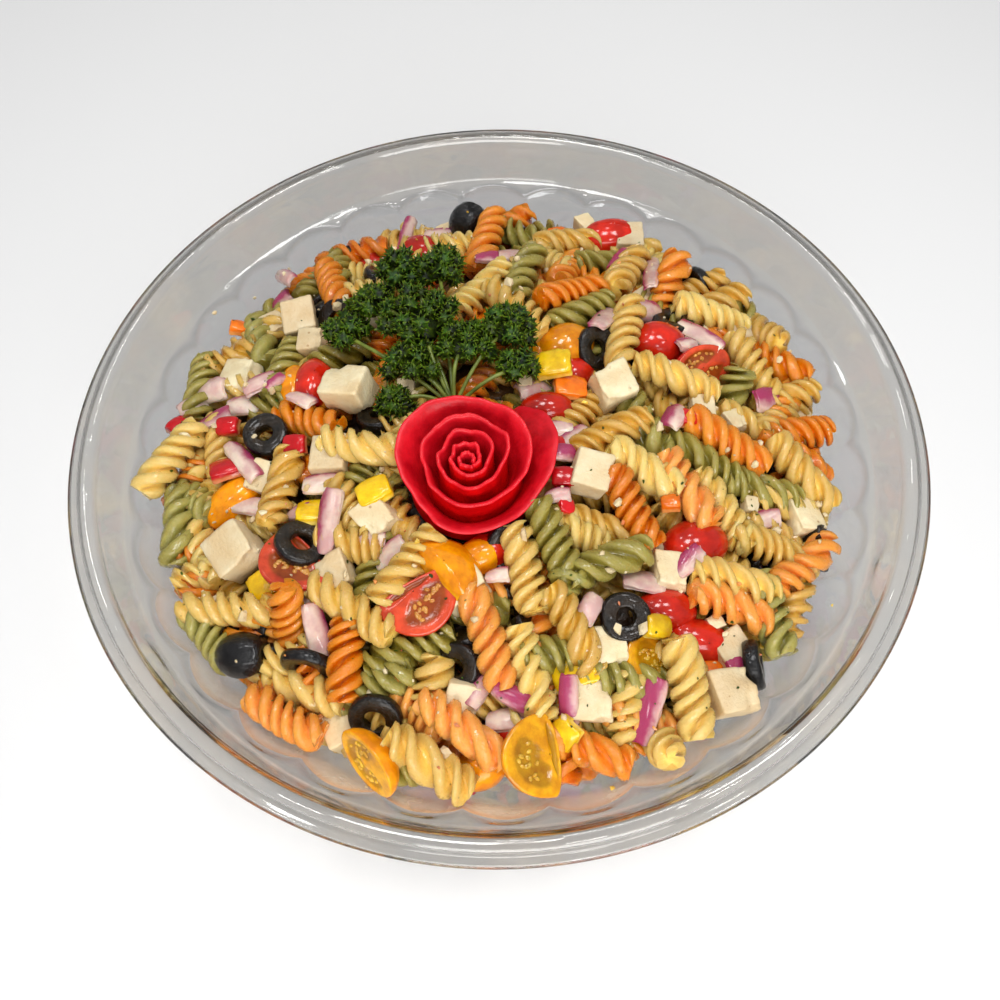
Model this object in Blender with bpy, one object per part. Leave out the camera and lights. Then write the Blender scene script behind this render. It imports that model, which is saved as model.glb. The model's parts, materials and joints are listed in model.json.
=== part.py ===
"""Pasta salad in a clear fluted serving bowl, with a tomato rose and a bunch of curly parsley on top.

The sizes below are millimetres. The bowl stands on the plane z = 0 with its centre on the z axis.
The rose, the parsley and every loose piece lie on the core, a smooth dome that fills the bowl.
"""

import math
import random

import bmesh
import bpy
from mathutils import Matrix, Vector

MM = 0.001
GAP = 0.4

# Bowl: a thin wall with thirty flutes under a plain band, a raised rim and a ring to stand on.
RIM_RADIUS = 165.0
LIP_HEIGHT = 88.0
RIM_HEIGHT = 92.0
WALL = 1.2
FLUTES = 30
STEPS_PER_FLUTE = 4
LEDGE_HEIGHT = 70.8
RIDGE_RADIUS = 144.5
WALL_SLOPE = 1.88
FLUTE_DEPTH = 2.6
FLUTE_FOOT = 14.0
BAND_TOP = (154.3, 89.0)
BAND_FOOT = (148.0, 71.6)
FOOT_OUTER = 99.5
FOOT_INNER = 94.5
FLOOR_RADIUS = 90.5
FLOOR_HEIGHT = 3.4

# Heap: the height at which the centres of the top pieces lie, at the wall and in the middle.
SKIN_EDGE = 62.0
SKIN_RISE = 28.0
SKIN_RADIUS = 130.0
SKIN_POWER = 0.9
CORE_UNDER_SKIN = 5.6
LIFT_SHARE = 0.45
SINK = 1.2
SPACING = 16.0
CLEAR_OF_GARNISH = 1.0
CORE_SIDES = 24

# Loose pieces at true size.
FUSILLO_RADIUS = 7.9
FUSILLO_PITCH = 33.0
FUSILLO_RINGS = 7
FINS = 3
OLIVE_RADIUS = 9.8
OLIVE_HOLE = 3.8
OLIVE_THICK = 5.6

# Where the cook's spoon left the spirals that lie uppermost: x, y, heading in degrees, length, lift.
FUSILLI = (
    (33, 115, 20, 28, 1), (-7, 80, 57, 34, 3), (60, 90, 62, 40, 3), 
    (94, 63, -12, 36, 4), (106, 38, -60, 36, 1), (57, 49, 80, 40, 2), (129, 19, 5, 28, 0),
    (72, 24, -25, 38, 5), (56, -21, -30, 36, 1), (90, -33, -50, 36, 2), (103, -47, -15, 34, 3),
    (126, -12, -48, 42, 3), (67, -104, -80, 40, 2), 
    (-54, -72, -35, 40, 4), (9, -96, -78, 42, 6), (24, -80, -62, 36, 3), (-26, -124, -32, 42, 2),
    (-101, -65, -5, 40, 4), (-70, -101, -22, 42, 2), (-134, 1, 68, 36, 5), 
    (-116, -41, -68, 38, 2), (-83, -17, 65, 40, 6), (-32, -55, 45, 40, 5), (9, -61, -70, 42, 5),
    (-73, 88, 110, 34, 3), (-3, 116, 72, 38, 3), (34, 72, 15, 36, 5), (125, 40, -5, 32, 0),
    (92, -3, -22, 40, 6), (51, -34, -62, 38, 3), (121, -53, 32, 40, 0),
    (83, -71, -15, 34, 3), (28, -126, -15, 38, 1), (-6, -84, -75, 42, 6), (-15, -115, -38, 44, 4),
    (-77, -70, 85, 30, 4), (-57, -90, 82, 40, 6), (-78, -108, -28, 38, 0), (-76, 11, -28, 34, 3),
    (-105, 62, 95, 32, 2), (-130, 36, 82, 38, 2), (16, 122, -40, 32, 0),
    (83, -13, -25, 40, 1), (105, -75, -80, 36, 1),
    (-44, -101, -5, 38, 2), (-130, -32, -72, 42, 3), 
    (38, -60, 18, 44, 4), (43, -8, 37, 34, 2), (60, 0, -68, 36, 2), (-91, 48, 70, 32, 1), (-119, -6, -60, 34, 2),
    (103, -24, -25, 36, 1), (14, 82, 72, 34, 1), (36, 57, 30, 32, 1), (-54, -44, -20, 28, 1),
)
# Olive rings: x, y, heading of the way the hole leans, lean in degrees, lift.
OLIVES = (
    (-91, 5, 0, 10, 7), (43, -77, 180, 12, 7), (-73, -46, 45, 45, 6), (42, 38, -30, 60, 3), (90, 84, 0, 88, 4),
    (-67, 66, -45, 30, 2), (90, -93, -20, 35, 1), (-42, -112, 250, 35, 2), (-95, -86, 250, 10, 0),
    (-71, -89, 250, 75, 4), (4, -75, -60, 50, 3),
)
# Tomato halves: x, y, heading, length, width, lift, and 1 where the skin is up or 0 where the cut is.
TOMATOES = (
    (-76, 35, 100, 27, 18, 3, 1), (-34, 110, -20, 26, 18, 1, 1), (56, 122, 10, 27, 22, 3, 1),
    (69, 43, 10, 26, 20, 3, 1), (86, 33, -10, 28, 18, 3, 1), (72, -46, 5, 31, 24, 7, 0), (62, -71, -30, 24, 17, 4, 1),
    (72, -85, -8, 29, 17, 6, 1), (-28, -72, 15, 33, 20, 7, 0), (-80, -54, -55, 31, 24, 5, 0),
    (25, 42, 30, 26, 20, 4, 1), (-104, -23, 35, 32, 20, 6, 1), (-14, -53, -55, 33, 16, 8, 1),
    (53, -90, -60, 27, 23, 5, 0), (8, -127, -70, 29, 25, 4, 0), (-46, -124, -40, 33, 22, 2, 1),
)
# Cheese cubes: x, y, heading, size, lift.
CHEESE = (
    (-86, 70, -25, 20, 4), (-77, 56, 30, 15, 2), (-107, 37, -20, 20, 4), (-60, 22, 10, 23, 8), (63, 114, 5, 16, 5),
    (43, 17, -35, 20, 6), (33, -25, -25, 20, 7), (122, -35, 10, 20, 3), (61, -61, 20, 19, 2), (40, -88, -30, 19, 2),
    (82, -89, 40, 19, 2), (82, -103, 15, 22, 2), (31, -106, 10, 20, 5), (2, -113, 0, 17, 1), (-58, -113, 30, 20, 0),
    (-101, -43, 35, 22, 6), (-65, -9, 0, 21, 5), (-41, -38, 30, 20, 5), (-61, -57, 15, 20, 4), (-14, -63, -20, 20, 2),
)
# Diced onion and pepper: x, y, heading, length, width, lift.
DICE = (
    (-120, 31, 0, 18, 13, 4), (-119, 17, -5, 20, 10, 5), (-92, 32, 10, 14, 9, 4), (55, 98, 60, 16, 6, 5),
    (70, 86, 98, 34, 11, 5), (87, 50, -45, 26, 8, 5), (108, 14, -15, 20, 13, 4), (68, 2, -80, 14, 12, 4),
    (53, -107, 55, 24, 9, 5), (20, -103, 85, 20, 8, 4), (-66, -78, -50, 20, 12, 5), (-100, -2, -58, 26, 9, 4),
    (-64, -34, 60, 22, 10, 4), (-107, -8, 10, 18, 14, 4), (26, -95, 20, 20, 14, 3), (23, 28, 30, 13, 12, 5),
    (28, 17, 0, 12, 11, 4), (97, 82, -30, 13, 11, 2),
)
DICE_THICK = 5.0

# Tomato rose: one long peel rolled up, its outer turns opened out like petals.
ROSE_AT = (-10.0, -24.0)
ROSE_TURNS = 4.25
ROSE_INNER = 3.6
ROSE_OUTER = 23.5
ROSE_FLARE = 8.5
ROSE_TALL = 27.0
ROSE_DROP = 7.0
PETAL_WAVE = 0.16
EDGE_WAVE = 0.9
PEEL = 1.7
ROSE_STEPS_PER_TURN = 14

# Parsley: curly heads on stems that meet behind the rose. Each head is x, y, height over the core, radius.
STEMS_MEET = (-17.0, 9.0)
HEADS = (
    (-43, 80, 25, 15), (-20, 78, 25, 15), (-58, 46, 22, 15), (-31, 48, 27, 18), (3, 38, 24, 15), (7, 18, 19, 8.0),
    (-45, 5, 13, 9.0), (-34, 22, 21, 13), (-11, 30, 24, 13),
)
STEM_RADIUS = 1.3


def clear_scene():
    for obj in list(bpy.data.objects):
        bpy.data.objects.remove(obj)


def food_material(name, colour, roughness):
    material = bpy.data.materials.new(name)
    material.use_nodes = True
    shader = material.node_tree.nodes["Principled BSDF"]
    shader.inputs["Base Color"].default_value = (*colour, 1.0)
    shader.inputs["Roughness"].default_value = roughness
    shader.inputs["Metallic"].default_value = 0.0
    return material


def mesh_object(name, points, faces, material=None, into=None):
    """A mesh object from points in millimetres."""
    mesh = bpy.data.meshes.new(name)
    mesh.from_pydata([Vector(p) * MM for p in points], [], faces)
    mesh.update()
    if material:
        mesh.materials.append(material)
    obj = bpy.data.objects.new(name, mesh)
    (into or bpy.context.scene.collection).objects.link(obj)
    return obj


def face_out(obj):
    """Turns every face of a closed mesh outwards."""
    shape = bmesh.new()
    shape.from_mesh(obj.data)
    bmesh.ops.recalc_face_normals(shape, faces=shape.faces)
    shape.to_mesh(obj.data)
    shape.free()


# Bowl


def flute_share(step):
    """How far a wall point stands out towards the middle of its flute, from 0 on a ridge to 1."""
    return math.sin(math.pi * (step % STEPS_PER_FLUTE) / STEPS_PER_FLUTE)


def ridge_radius(height):
    return RIDGE_RADIUS - (LEDGE_HEIGHT - height) / WALL_SLOPE


def inner_profile(step):
    """The bowl's upper surface along one direction, from the lip to the floor: radius and height."""
    share = flute_share(step)
    rim = [
        (RIM_RADIUS, LIP_HEIGHT),
        (162.0, LIP_HEIGHT),
        (159.5, RIM_HEIGHT),
        (156.5, RIM_HEIGHT),
        BAND_TOP,
        BAND_FOOT,
    ]
    wall = [
        (RIDGE_RADIUS + FLUTE_DEPTH * share, LEDGE_HEIGHT),
        (ridge_radius(FLUTE_FOOT) + 0.7 * FLUTE_DEPTH * share, FLUTE_FOOT),
    ]
    base = [
        (107.0, 5.2),
        (FOOT_OUTER, WALL),
        (FOOT_INNER, WALL),
        (FLOOR_RADIUS, FLOOR_HEIGHT),
    ]
    return rim + wall + base


def offset_profile(profile):
    """The same line moved by the wall's thickness towards the outside of the bowl."""
    moved = []
    for i, (r, z) in enumerate(profile):
        before = profile[max(i - 1, 0)]
        after = profile[min(i + 1, len(profile) - 1)]
        sides = []
        for a, b in ((before, (r, z)), ((r, z), after)):
            length = math.hypot(b[0] - a[0], b[1] - a[1])
            if length > 0:
                sides.append(((b[1] - a[1]) / length, -(b[0] - a[0]) / length))
        nr = sum(s[0] for s in sides) / len(sides)
        nz = sum(s[1] for s in sides) / len(sides)
        square = max(nr * nr + nz * nz, 0.5)
        moved.append((r - WALL * nr / square, z - WALL * nz / square))
    return moved


def stitch(faces, first, second):
    """Faces between two rings that have as many points, or one ring with twice as many."""
    count = min(len(first), len(second))
    for i in range(count):
        j = (i + 1) % count
        if len(first) == len(second):
            faces.append((first[i], first[j], second[j], second[i]))
        elif len(first) > len(second):
            middle = first[2 * i + 1]
            faces.append((first[2 * i], middle, second[i]))
            faces.append((middle, second[j], second[i]))
            faces.append((middle, first[(2 * i + 2) % len(first)], second[j]))
        else:
            middle = second[2 * i + 1]
            faces.append((first[i], middle, second[2 * i]))
            faces.append((first[i], first[j], middle))
            faces.append((first[j], second[(2 * i + 2) % len(second)], middle))


def make_bowl(material):
    steps = FLUTES * STEPS_PER_FLUTE
    fine_rows = (6, 7)
    points = []
    rings = []
    lines = [inner_profile(k) for k in range(steps)]
    for side in (lines, [offset_profile(line) for line in lines]):
        made = []
        for row in range(len(lines[0])):
            ring = []
            for k in range(0, steps, 1 if row in fine_rows else 2):
                angle = 2 * math.pi * k / steps
                r, z = side[k][row]
                ring.append(len(points))
                points.append((r * math.cos(angle), r * math.sin(angle), z))
            made.append(ring)
        rings.append(made)
    faces = []
    for made in rings:
        for first, second in zip(made, made[1:]):
            stitch(faces, first, second)
    stitch(faces, rings[0][0], rings[1][0])
    for made, height in zip(rings, (FLOOR_HEIGHT, FLOOR_HEIGHT - WALL)):
        middle = len(points)
        points.append((0.0, 0.0, height))
        last = made[-1]
        faces += [(last[i], last[(i + 1) % len(last)], middle) for i in range(len(last))]
    bowl = mesh_object("bowl", points, faces, material)
    face_out(bowl)
    bowl.data.shade_smooth()
    bowl.data.set_sharp_from_angle(angle=math.radians(30))
    return bowl


def wall_radius(height):
    """The largest radius that stays inside the bowl at a height."""
    if height < FLUTE_FOOT:
        share = max(height - FLOOR_HEIGHT, 0.0) / (FLUTE_FOOT - FLOOR_HEIGHT)
        return FLOOR_RADIUS + (ridge_radius(FLUTE_FOOT) - FLOOR_RADIUS) * share
    if height < LEDGE_HEIGHT:
        return ridge_radius(height)
    share = min((height - LEDGE_HEIGHT) / (BAND_TOP[1] - LEDGE_HEIGHT), 1.0)
    return BAND_FOOT[0] - 1.0 + share * (BAND_TOP[0] - BAND_FOOT[0])


# Heap


def skin(x, y):
    """The height of the middle of a top piece at a place."""
    share = max(1.0 - (x * x + y * y) / SKIN_RADIUS**2, 0.0)
    return SKIN_EDGE + SKIN_RISE * share**SKIN_POWER


def core_top(x, y):
    return skin(x, y) - CORE_UNDER_SKIN


def make_core(into):
    """A smooth dome that fills the bowl up to just under the loose pieces."""
    edge = wall_radius(SKIN_EDGE - CORE_UNDER_SKIN) - 1.6
    profile = [(88.0, FLOOR_HEIGHT + GAP), (wall_radius(FLUTE_FOOT) - 3.0, FLUTE_FOOT - 1.0)]
    profile += [(wall_radius(34.0) - 1.6, 34.0), (edge, SKIN_EDGE - CORE_UNDER_SKIN)]
    profile += [(r, core_top(r, 0.0)) for r in (122.0, 96.0, 66.0, 34.0)]
    points = []
    faces = []
    for r, z in profile:
        for k in range(CORE_SIDES):
            angle = 2 * math.pi * k / CORE_SIDES
            points.append((r * math.cos(angle), r * math.sin(angle), z))
    rings = [list(range(i * CORE_SIDES, (i + 1) * CORE_SIDES)) for i in range(len(profile))]
    for first, second in zip(rings, rings[1:]):
        stitch(faces, first, second)
    for ring, height in ((rings[0], FLOOR_HEIGHT + GAP), (rings[-1], core_top(0.0, 0.0))):
        middle = len(points)
        points.append((0.0, 0.0, height))
        faces += [(ring[i], ring[(i + 1) % CORE_SIDES], middle) for i in range(CORE_SIDES)]
    core = mesh_object("core", points, faces, into=into)
    face_out(core)
    return core


def lie(x, y, heading, length, lift):
    """The frame of a piece whose long axis follows the heap: x along it, z up."""
    angle = math.radians(heading)
    along = Vector((math.cos(angle), math.sin(angle), 0.0))
    ends = [Vector((x, y, 0.0)) + along * length * s for s in (-0.4, 0.4)]
    heights = [skin(e.x, e.y) for e in ends]
    along = Vector((along.x, along.y, (heights[1] - heights[0]) / (0.8 * length))).normalized()
    side = Vector((0.0, 0.0, 1.0)).cross(along).normalized()
    frame = Matrix((along, side, along.cross(side))).transposed().to_4x4()
    frame.translation = Vector((x, y, sum(heights) / 2 + LIFT_SHARE * lift - SINK))
    return frame


def fusillo(length, phase, bend):
    """A spiral with three fins about a bent axis: points and faces, along x."""
    points = []
    for i in range(FUSILLO_RINGS + 1):
        s = i / FUSILLO_RINGS
        turned = phase + 2 * math.pi * s * length / FUSILLO_PITCH
        for k in range(FINS):
            angle = turned + 2 * math.pi * k / FINS
            points.append(((s - 0.5) * length, FUSILLO_RADIUS * math.cos(angle) + bend * (1 - (2 * s - 1) ** 2),
                           FUSILLO_RADIUS * math.sin(angle)))
    faces = [tuple(range(FINS)), tuple(range(FUSILLO_RINGS * FINS, (FUSILLO_RINGS + 1) * FINS))]
    for i in range(FUSILLO_RINGS):
        for k in range(FINS):
            here, after = i * FINS + k, i * FINS + (k + 1) % FINS
            faces.append((here, after, here + FINS))
            faces.append((after, after + FINS, here + FINS))
    return points, faces


def olive_ring():
    """A slice across an olive, with its hole: points and faces, the hole along z."""
    sides = 8
    profile = ((OLIVE_HOLE, 0.5), (OLIVE_RADIUS, 0.42), (OLIVE_RADIUS, -0.42), (OLIVE_HOLE, -0.5))
    points = [(r * math.cos(2 * math.pi * k / sides), r * math.sin(2 * math.pi * k / sides), z * OLIVE_THICK)
              for r, z in profile for k in range(sides)]
    rings = [list(range(i * sides, (i + 1) * sides)) for i in range(len(profile))]
    faces = []
    for first, second in zip(rings, rings[1:] + rings[:1]):
        stitch(faces, first, second)
    return points, faces


def tomato_half(length, width, skin_up):
    """Half of a small tomato, cut along its length: points and faces."""
    sides = 8
    rows = ((1.0, 0.0), (0.72, 0.75))
    tall = 0.5 * width * 0.95 * (1 if skin_up else -1)
    shift = -0.4 * tall
    points = [(0.5 * length * r * math.cos(2 * math.pi * k / sides), 0.5 * width * r * math.sin(2 * math.pi * k / sides),
               tall * z + shift) for r, z in rows for k in range(sides)]
    rings = [list(range(i * sides, (i + 1) * sides)) for i in range(len(rows))]
    faces = [tuple(reversed(rings[0]))]
    for first, second in zip(rings, rings[1:]):
        stitch(faces, first, second)
    points.append((0.0, 0.0, tall + shift))
    faces += [(rings[-1][k], rings[-1][(k + 1) % sides], len(points) - 1) for k in range(sides)]
    return points, faces


def block(length, width, thick, rough, draw):
    """A hand-cut block with uneven corners: points and faces."""
    points = [(x * length / 2 + draw.uniform(-rough, rough), y * width / 2 + draw.uniform(-rough, rough),
               z * thick / 2 + draw.uniform(-rough, rough)) for x in (-1, 1) for y in (-1, 1) for z in (-1, 1)]
    faces = [(0, 1, 3, 2), (4, 6, 7, 5), (0, 4, 5, 1), (2, 3, 7, 6), (0, 2, 6, 4), (1, 5, 7, 3)]
    return points, faces


def kept_inside(points):
    """The points moved towards the axis until they clear the bowl's wall."""
    over = max(math.hypot(p.x, p.y) + GAP + 0.4 - wall_radius(p.z) for p in points)
    if over <= 0:
        return points
    middle = sum(points, Vector()) / len(points)
    inwards = Vector((-middle.x, -middle.y, 0.0)).normalized() * over
    return [p + inwards for p in points]


def meets_garnish(points, reach):
    """True where a piece would cross the rose or a head of parsley."""
    for p in points:
        top = core_top(p.x, p.y)
        from_rose = math.hypot(p.x - ROSE_AT[0], p.y - ROSE_AT[1])
        if from_rose < ROSE_OUTER + ROSE_FLARE * min(max((p.z - top) / ROSE_TALL, 0.0), 1.0) + reach:
            return True
        for x, y, height, radius in HEADS:
            if math.hypot(p.x - x, p.y - y) < radius * 1.1 + reach:
                return True
    return False


class Heap:
    """The loose pieces, each added only where it clears the garnish and isn't crowded by those before it."""

    def __init__(self, into):
        self.into = into
        self.places = []

    def add(self, name, shape, frame):
        middle = frame.translation.xy
        if any((middle - place).length < SPACING for place in self.places):
            return
        points = [frame @ Vector(p) for p in shape[0]]
        for _ in range(3):
            points = kept_inside(points)
        if meets_garnish(points, CLEAR_OF_GARNISH):
            return
        self.places.append(middle)
        face_out(mesh_object(name, points, shape[1], into=self.into))


def leaning(frame, heading, lean):
    """The frame turned so that its z axis leans towards a heading."""
    axis = Vector((-math.sin(math.radians(heading)), math.cos(math.radians(heading)), 0.0))
    turned = Matrix.Rotation(math.radians(lean), 4, axis) @ frame.to_3x3().to_4x4()
    turned.translation = frame.translation
    return turned


def outer_shell_only(obj):
    """Keeps the largest shell of a joined mesh, so that sealed hollows are filled and scraps are dropped."""
    shape = bmesh.new()
    shape.from_mesh(obj.data)
    bmesh.ops.triangulate(shape, faces=shape.faces)
    seen = set()
    shells = []
    for start in shape.faces:
        if start in seen:
            continue
        shell = []
        waiting = [start]
        seen.add(start)
        while waiting:
            face = waiting.pop()
            shell.append(face)
            for other in (other for edge in face.edges for other in edge.link_faces):
                if other not in seen:
                    seen.add(other)
                    waiting.append(other)
        shells.append(shell)
    shells.sort(key=len)
    for shell in shells[:-1]:
        bmesh.ops.delete(shape, geom=shell, context="FACES")
    shape.to_mesh(obj.data)
    shape.free()


def join_all(name, first, others, material):
    """One solid from an object and a collection, by a Boolean union that is applied."""
    union = first.modifiers.new("join", "BOOLEAN")
    union.operation = "UNION"
    union.operand_type = "COLLECTION"
    union.solver = "MANIFOLD"
    union.collection = others
    bpy.context.view_layer.update()
    graph = bpy.context.evaluated_depsgraph_get()
    mesh = bpy.data.meshes.new_from_object(first.evaluated_get(graph))
    mesh.name = name
    joined = bpy.data.objects.new(name, mesh)
    bpy.context.scene.collection.objects.link(joined)
    for obj in list(others.objects) + [first]:
        bpy.data.objects.remove(obj)
    bpy.data.collections.remove(others)
    outer_shell_only(joined)
    joined.data.materials.clear()
    joined.data.materials.append(material)
    return joined


def make_heap(material):
    draw = random.Random(7)
    others = bpy.data.collections.new("heap pieces")
    bpy.context.scene.collection.children.link(others)
    core = make_core(bpy.context.scene.collection)
    heap = Heap(others)
    for i, (x, y, heading, length, width, lift, skin_up) in enumerate(TOMATOES):
        heap.add(f"tomato {i}", tomato_half(length, width, skin_up), lie(x, y, heading, length, lift))
    for i, (x, y, heading, size, lift) in enumerate(CHEESE):
        frame = leaning(lie(x, y, heading, size, lift), draw.uniform(0, 360), draw.uniform(0, 22))
        heap.add(f"cheese {i}", block(size, size * 0.9, size * 0.8, 1.2, draw), frame)
    for i, (x, y, heading, lean, lift) in enumerate(OLIVES):
        frame = leaning(lie(x, y, 0, 16, lift), heading, lean)
        heap.add(f"olive {i}", olive_ring(), frame)
    for i, (x, y, heading, length, lift) in enumerate(FUSILLI):
        shape = fusillo(length, draw.uniform(0, 2), draw.uniform(-2.0, 2.0))
        heap.add(f"fusillo {i}", shape, lie(x, y, heading, length, lift))
    for i, (x, y, heading, length, width, lift) in enumerate(DICE):
        frame = leaning(lie(x, y, heading, length, lift), draw.uniform(0, 360), draw.uniform(5, 30))
        heap.add(f"dice {i}", block(length, width, DICE_THICK, 0.8, draw), frame)
    return join_all("salad_heap", core, others, material)


# Garnish


def make_rose(material):
    """The rolled peel as one closed strip: three points up each of its faces at every step."""
    steps = int(ROSE_TURNS * ROSE_STEPS_PER_TURN)
    rows = (0.0, 0.5, 1.0)
    points = []
    for i in range(steps + 1):
        s = i / steps
        angle = 2 * math.pi * ROSE_TURNS * s
        radius = ROSE_INNER + (ROSE_OUTER - ROSE_INNER) * s**0.92
        flare = ROSE_FLARE * s**2.2 * (1.0 + PETAL_WAVE * math.sin(3 * angle))
        tall = ROSE_TALL - ROSE_DROP * s**2 + EDGE_WAVE * math.sin(2.3 * angle)
        loop = []
        for side in (1, -1):
            for row in rows if side > 0 else tuple(reversed(rows)):
                r = radius + flare * row**2 + side * PEEL * (0.5 if row < 1.0 else 0.35)
                x = ROSE_AT[0] + r * math.cos(angle)
                y = ROSE_AT[1] + r * math.sin(angle)
                foot = core_top(x, y) + GAP
                loop.append((x, y, foot + row * tall))
        points += loop
    across = 2 * len(rows)
    faces = [tuple(range(across)), tuple(range(steps * across, (steps + 1) * across))]
    for i in range(steps):
        for k in range(across):
            a, b = i * across + k, i * across + (k + 1) % across
            faces.append((a, b, b + across, a + across))
    rose = mesh_object("tomato_rose", points, faces, material)
    face_out(rose)
    rose.data.shade_smooth()
    rose.data.set_sharp_from_angle(angle=math.radians(50))
    return rose


def curly_head(name, x, y, height, radius, draw, into):
    """A tuft of leaf: a ball with deep points all round, its underside on the core."""
    shape = bmesh.new()
    bmesh.ops.create_icosphere(shape, subdivisions=2, radius=1.0)
    middle = Vector((x, y, core_top(x, y) + height - radius * 0.35))
    reach = [1.16 if len(v.link_edges) == 5 else draw.choice((0.78, 0.94, 1.1)) for v in shape.verts]
    for vert, far in zip(shape.verts, reach):
        place = middle + Vector((vert.co.x, vert.co.y, vert.co.z * 0.85)) * radius * far
        floor = core_top(place.x, place.y) + GAP
        if vert.co.z < -0.55 or place.z < floor:
            place.z = floor
        vert.co = place * MM
    mesh = bpy.data.meshes.new(name)
    shape.to_mesh(mesh)
    shape.free()
    head = bpy.data.objects.new(name, mesh)
    into.objects.link(head)
    face_out(head)
    return head


def stem(name, x, y, height, into):
    """A stalk from where the stems meet up into a head."""
    foot = Vector((*STEMS_MEET, core_top(*STEMS_MEET) + 5.0))
    tip = Vector((x, y, core_top(x, y) + height * 0.8))
    along = tip - foot
    sides = 4
    side = Vector((0, 0, 1)).cross(along).normalized()
    up = along.cross(side).normalized()
    points = []
    for s in (0.0, 0.5, 1.0):
        middle = foot + along * s + Vector((0, 0, 4.0)) * (1 - (2 * s - 1) ** 2)
        for k in range(sides):
            angle = 2 * math.pi * k / sides
            place = middle + (side * math.cos(angle) + up * math.sin(angle)) * STEM_RADIUS
            points.append(place)
    rings = [list(range(i * sides, (i + 1) * sides)) for i in range(3)]
    faces = [tuple(reversed(rings[0])), tuple(rings[-1])]
    stitch(faces, rings[0], rings[1])
    stitch(faces, rings[1], rings[2])
    made = mesh_object(name, points, faces, into=into)
    face_out(made)
    return made


def make_parsley(material):
    draw = random.Random(3)
    others = bpy.data.collections.new("parsley pieces")
    bpy.context.scene.collection.children.link(others)
    first = curly_head("first head", *HEADS[0], draw, bpy.context.scene.collection)
    for i, head in enumerate(HEADS[1:]):
        curly_head(f"head {i}", *head, draw, others)
    for i, (x, y, height, _) in enumerate(HEADS):
        stem(f"stem {i}", x, y, height, others)
    return join_all("parsley_bunch", first, others, material)


def main():
    clear_scene()
    make_bowl(food_material("clear plastic", (0.82, 0.83, 0.84), 0.1))
    make_heap(food_material("pasta salad", (0.80, 0.62, 0.30), 0.45))
    make_rose(food_material("tomato peel", (0.68, 0.03, 0.03), 0.3))
    make_parsley(food_material("parsley leaf", (0.06, 0.20, 0.03), 0.55))
    for obj in bpy.data.objects:
        print(obj.name, "triangles", sum(len(p.vertices) - 2 for p in obj.data.polygons))


main()
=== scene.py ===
import json
import math
import random

import bmesh
import bpy
from mathutils import Matrix, Vector, noise

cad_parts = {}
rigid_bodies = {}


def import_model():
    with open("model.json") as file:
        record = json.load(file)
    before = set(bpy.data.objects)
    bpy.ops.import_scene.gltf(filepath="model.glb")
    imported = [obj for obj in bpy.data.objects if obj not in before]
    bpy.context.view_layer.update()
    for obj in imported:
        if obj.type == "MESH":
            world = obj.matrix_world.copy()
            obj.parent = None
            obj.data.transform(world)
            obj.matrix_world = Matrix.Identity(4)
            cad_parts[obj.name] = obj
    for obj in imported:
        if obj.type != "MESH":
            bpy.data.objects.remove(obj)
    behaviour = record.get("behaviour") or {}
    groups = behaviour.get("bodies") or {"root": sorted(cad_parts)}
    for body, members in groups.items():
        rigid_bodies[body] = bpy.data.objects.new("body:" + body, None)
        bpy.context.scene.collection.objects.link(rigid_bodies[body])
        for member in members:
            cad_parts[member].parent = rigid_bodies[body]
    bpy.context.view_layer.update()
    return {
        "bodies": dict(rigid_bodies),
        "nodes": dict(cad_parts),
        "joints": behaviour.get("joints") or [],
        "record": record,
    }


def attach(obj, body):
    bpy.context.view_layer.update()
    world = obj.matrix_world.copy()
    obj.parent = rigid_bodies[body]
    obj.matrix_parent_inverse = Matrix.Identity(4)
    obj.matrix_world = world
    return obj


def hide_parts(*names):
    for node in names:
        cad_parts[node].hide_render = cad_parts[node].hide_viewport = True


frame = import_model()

# Lengths are in millimetres up to the place where a mesh is made.
MM = 0.001
TURN = 2 * math.pi
GOLDEN_ANGLE = math.pi * (3.0 - math.sqrt(5.0))

# The bowl, as in the model that this scene dresses.
RIM_RADIUS = 165.0
LIP_HEIGHT = 88.0
WALL = 1.2
FLUTES = 30
LEDGE_HEIGHT = 70.8
RIDGE_RADIUS = 144.5
WALL_SLOPE = 1.88
FLUTE_DEPTH = 2.6
FLUTE_FOOT = 14.0
ARCH_DROP = 2.6
BAND_FOOT = 147.0
BAND_SLOPE = 0.36
FLOOR_HEIGHT = 3.4
FLOOR_RADIUS = 92.0
FOOT_OUTER = 99.5
FOOT_INNER = 94.5
LUG_ANGLES = (-23.6, 96.4, 216.4)
LUG_WIDTH = 2.6
# The points of the bowl's line that lie along the arches of the flutes.
ARCH_ROWS = (28, 29)

# The height of the middle of the top pieces, at the wall and in the middle of the bowl.
SKIN_EDGE = 62.0
SKIN_RISE = 28.0
SKIN_RADIUS = 130.0
SKIN_POWER = 0.9
CORE_UNDER_SKIN = 5.6
INSIDE_UNDER_SKIN = 13.0
# How far off the skin a piece lies, by its level. A raised piece moves towards the viewer as it rises.
LEVELS = (-4.5, 0.0, 4.5, 8.0)
VIEW_LEAN = 0.55
WALL_CLEARANCE = 7.4

# The sizes of the shapes before they are scaled, and how far from the middle things are strewn.
SPIRAL_LONG = 35.0
TOMATO_LONG = 26.0
TOMATO_WIDE = 19.0
CHEESE_SCALE = 0.8
OLIVE_WIDE = 18.0
SPIRALS_REACH = 132.0
CRUMBS_REACH = 134.0
BENEATH_REACH = 84.0

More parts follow.
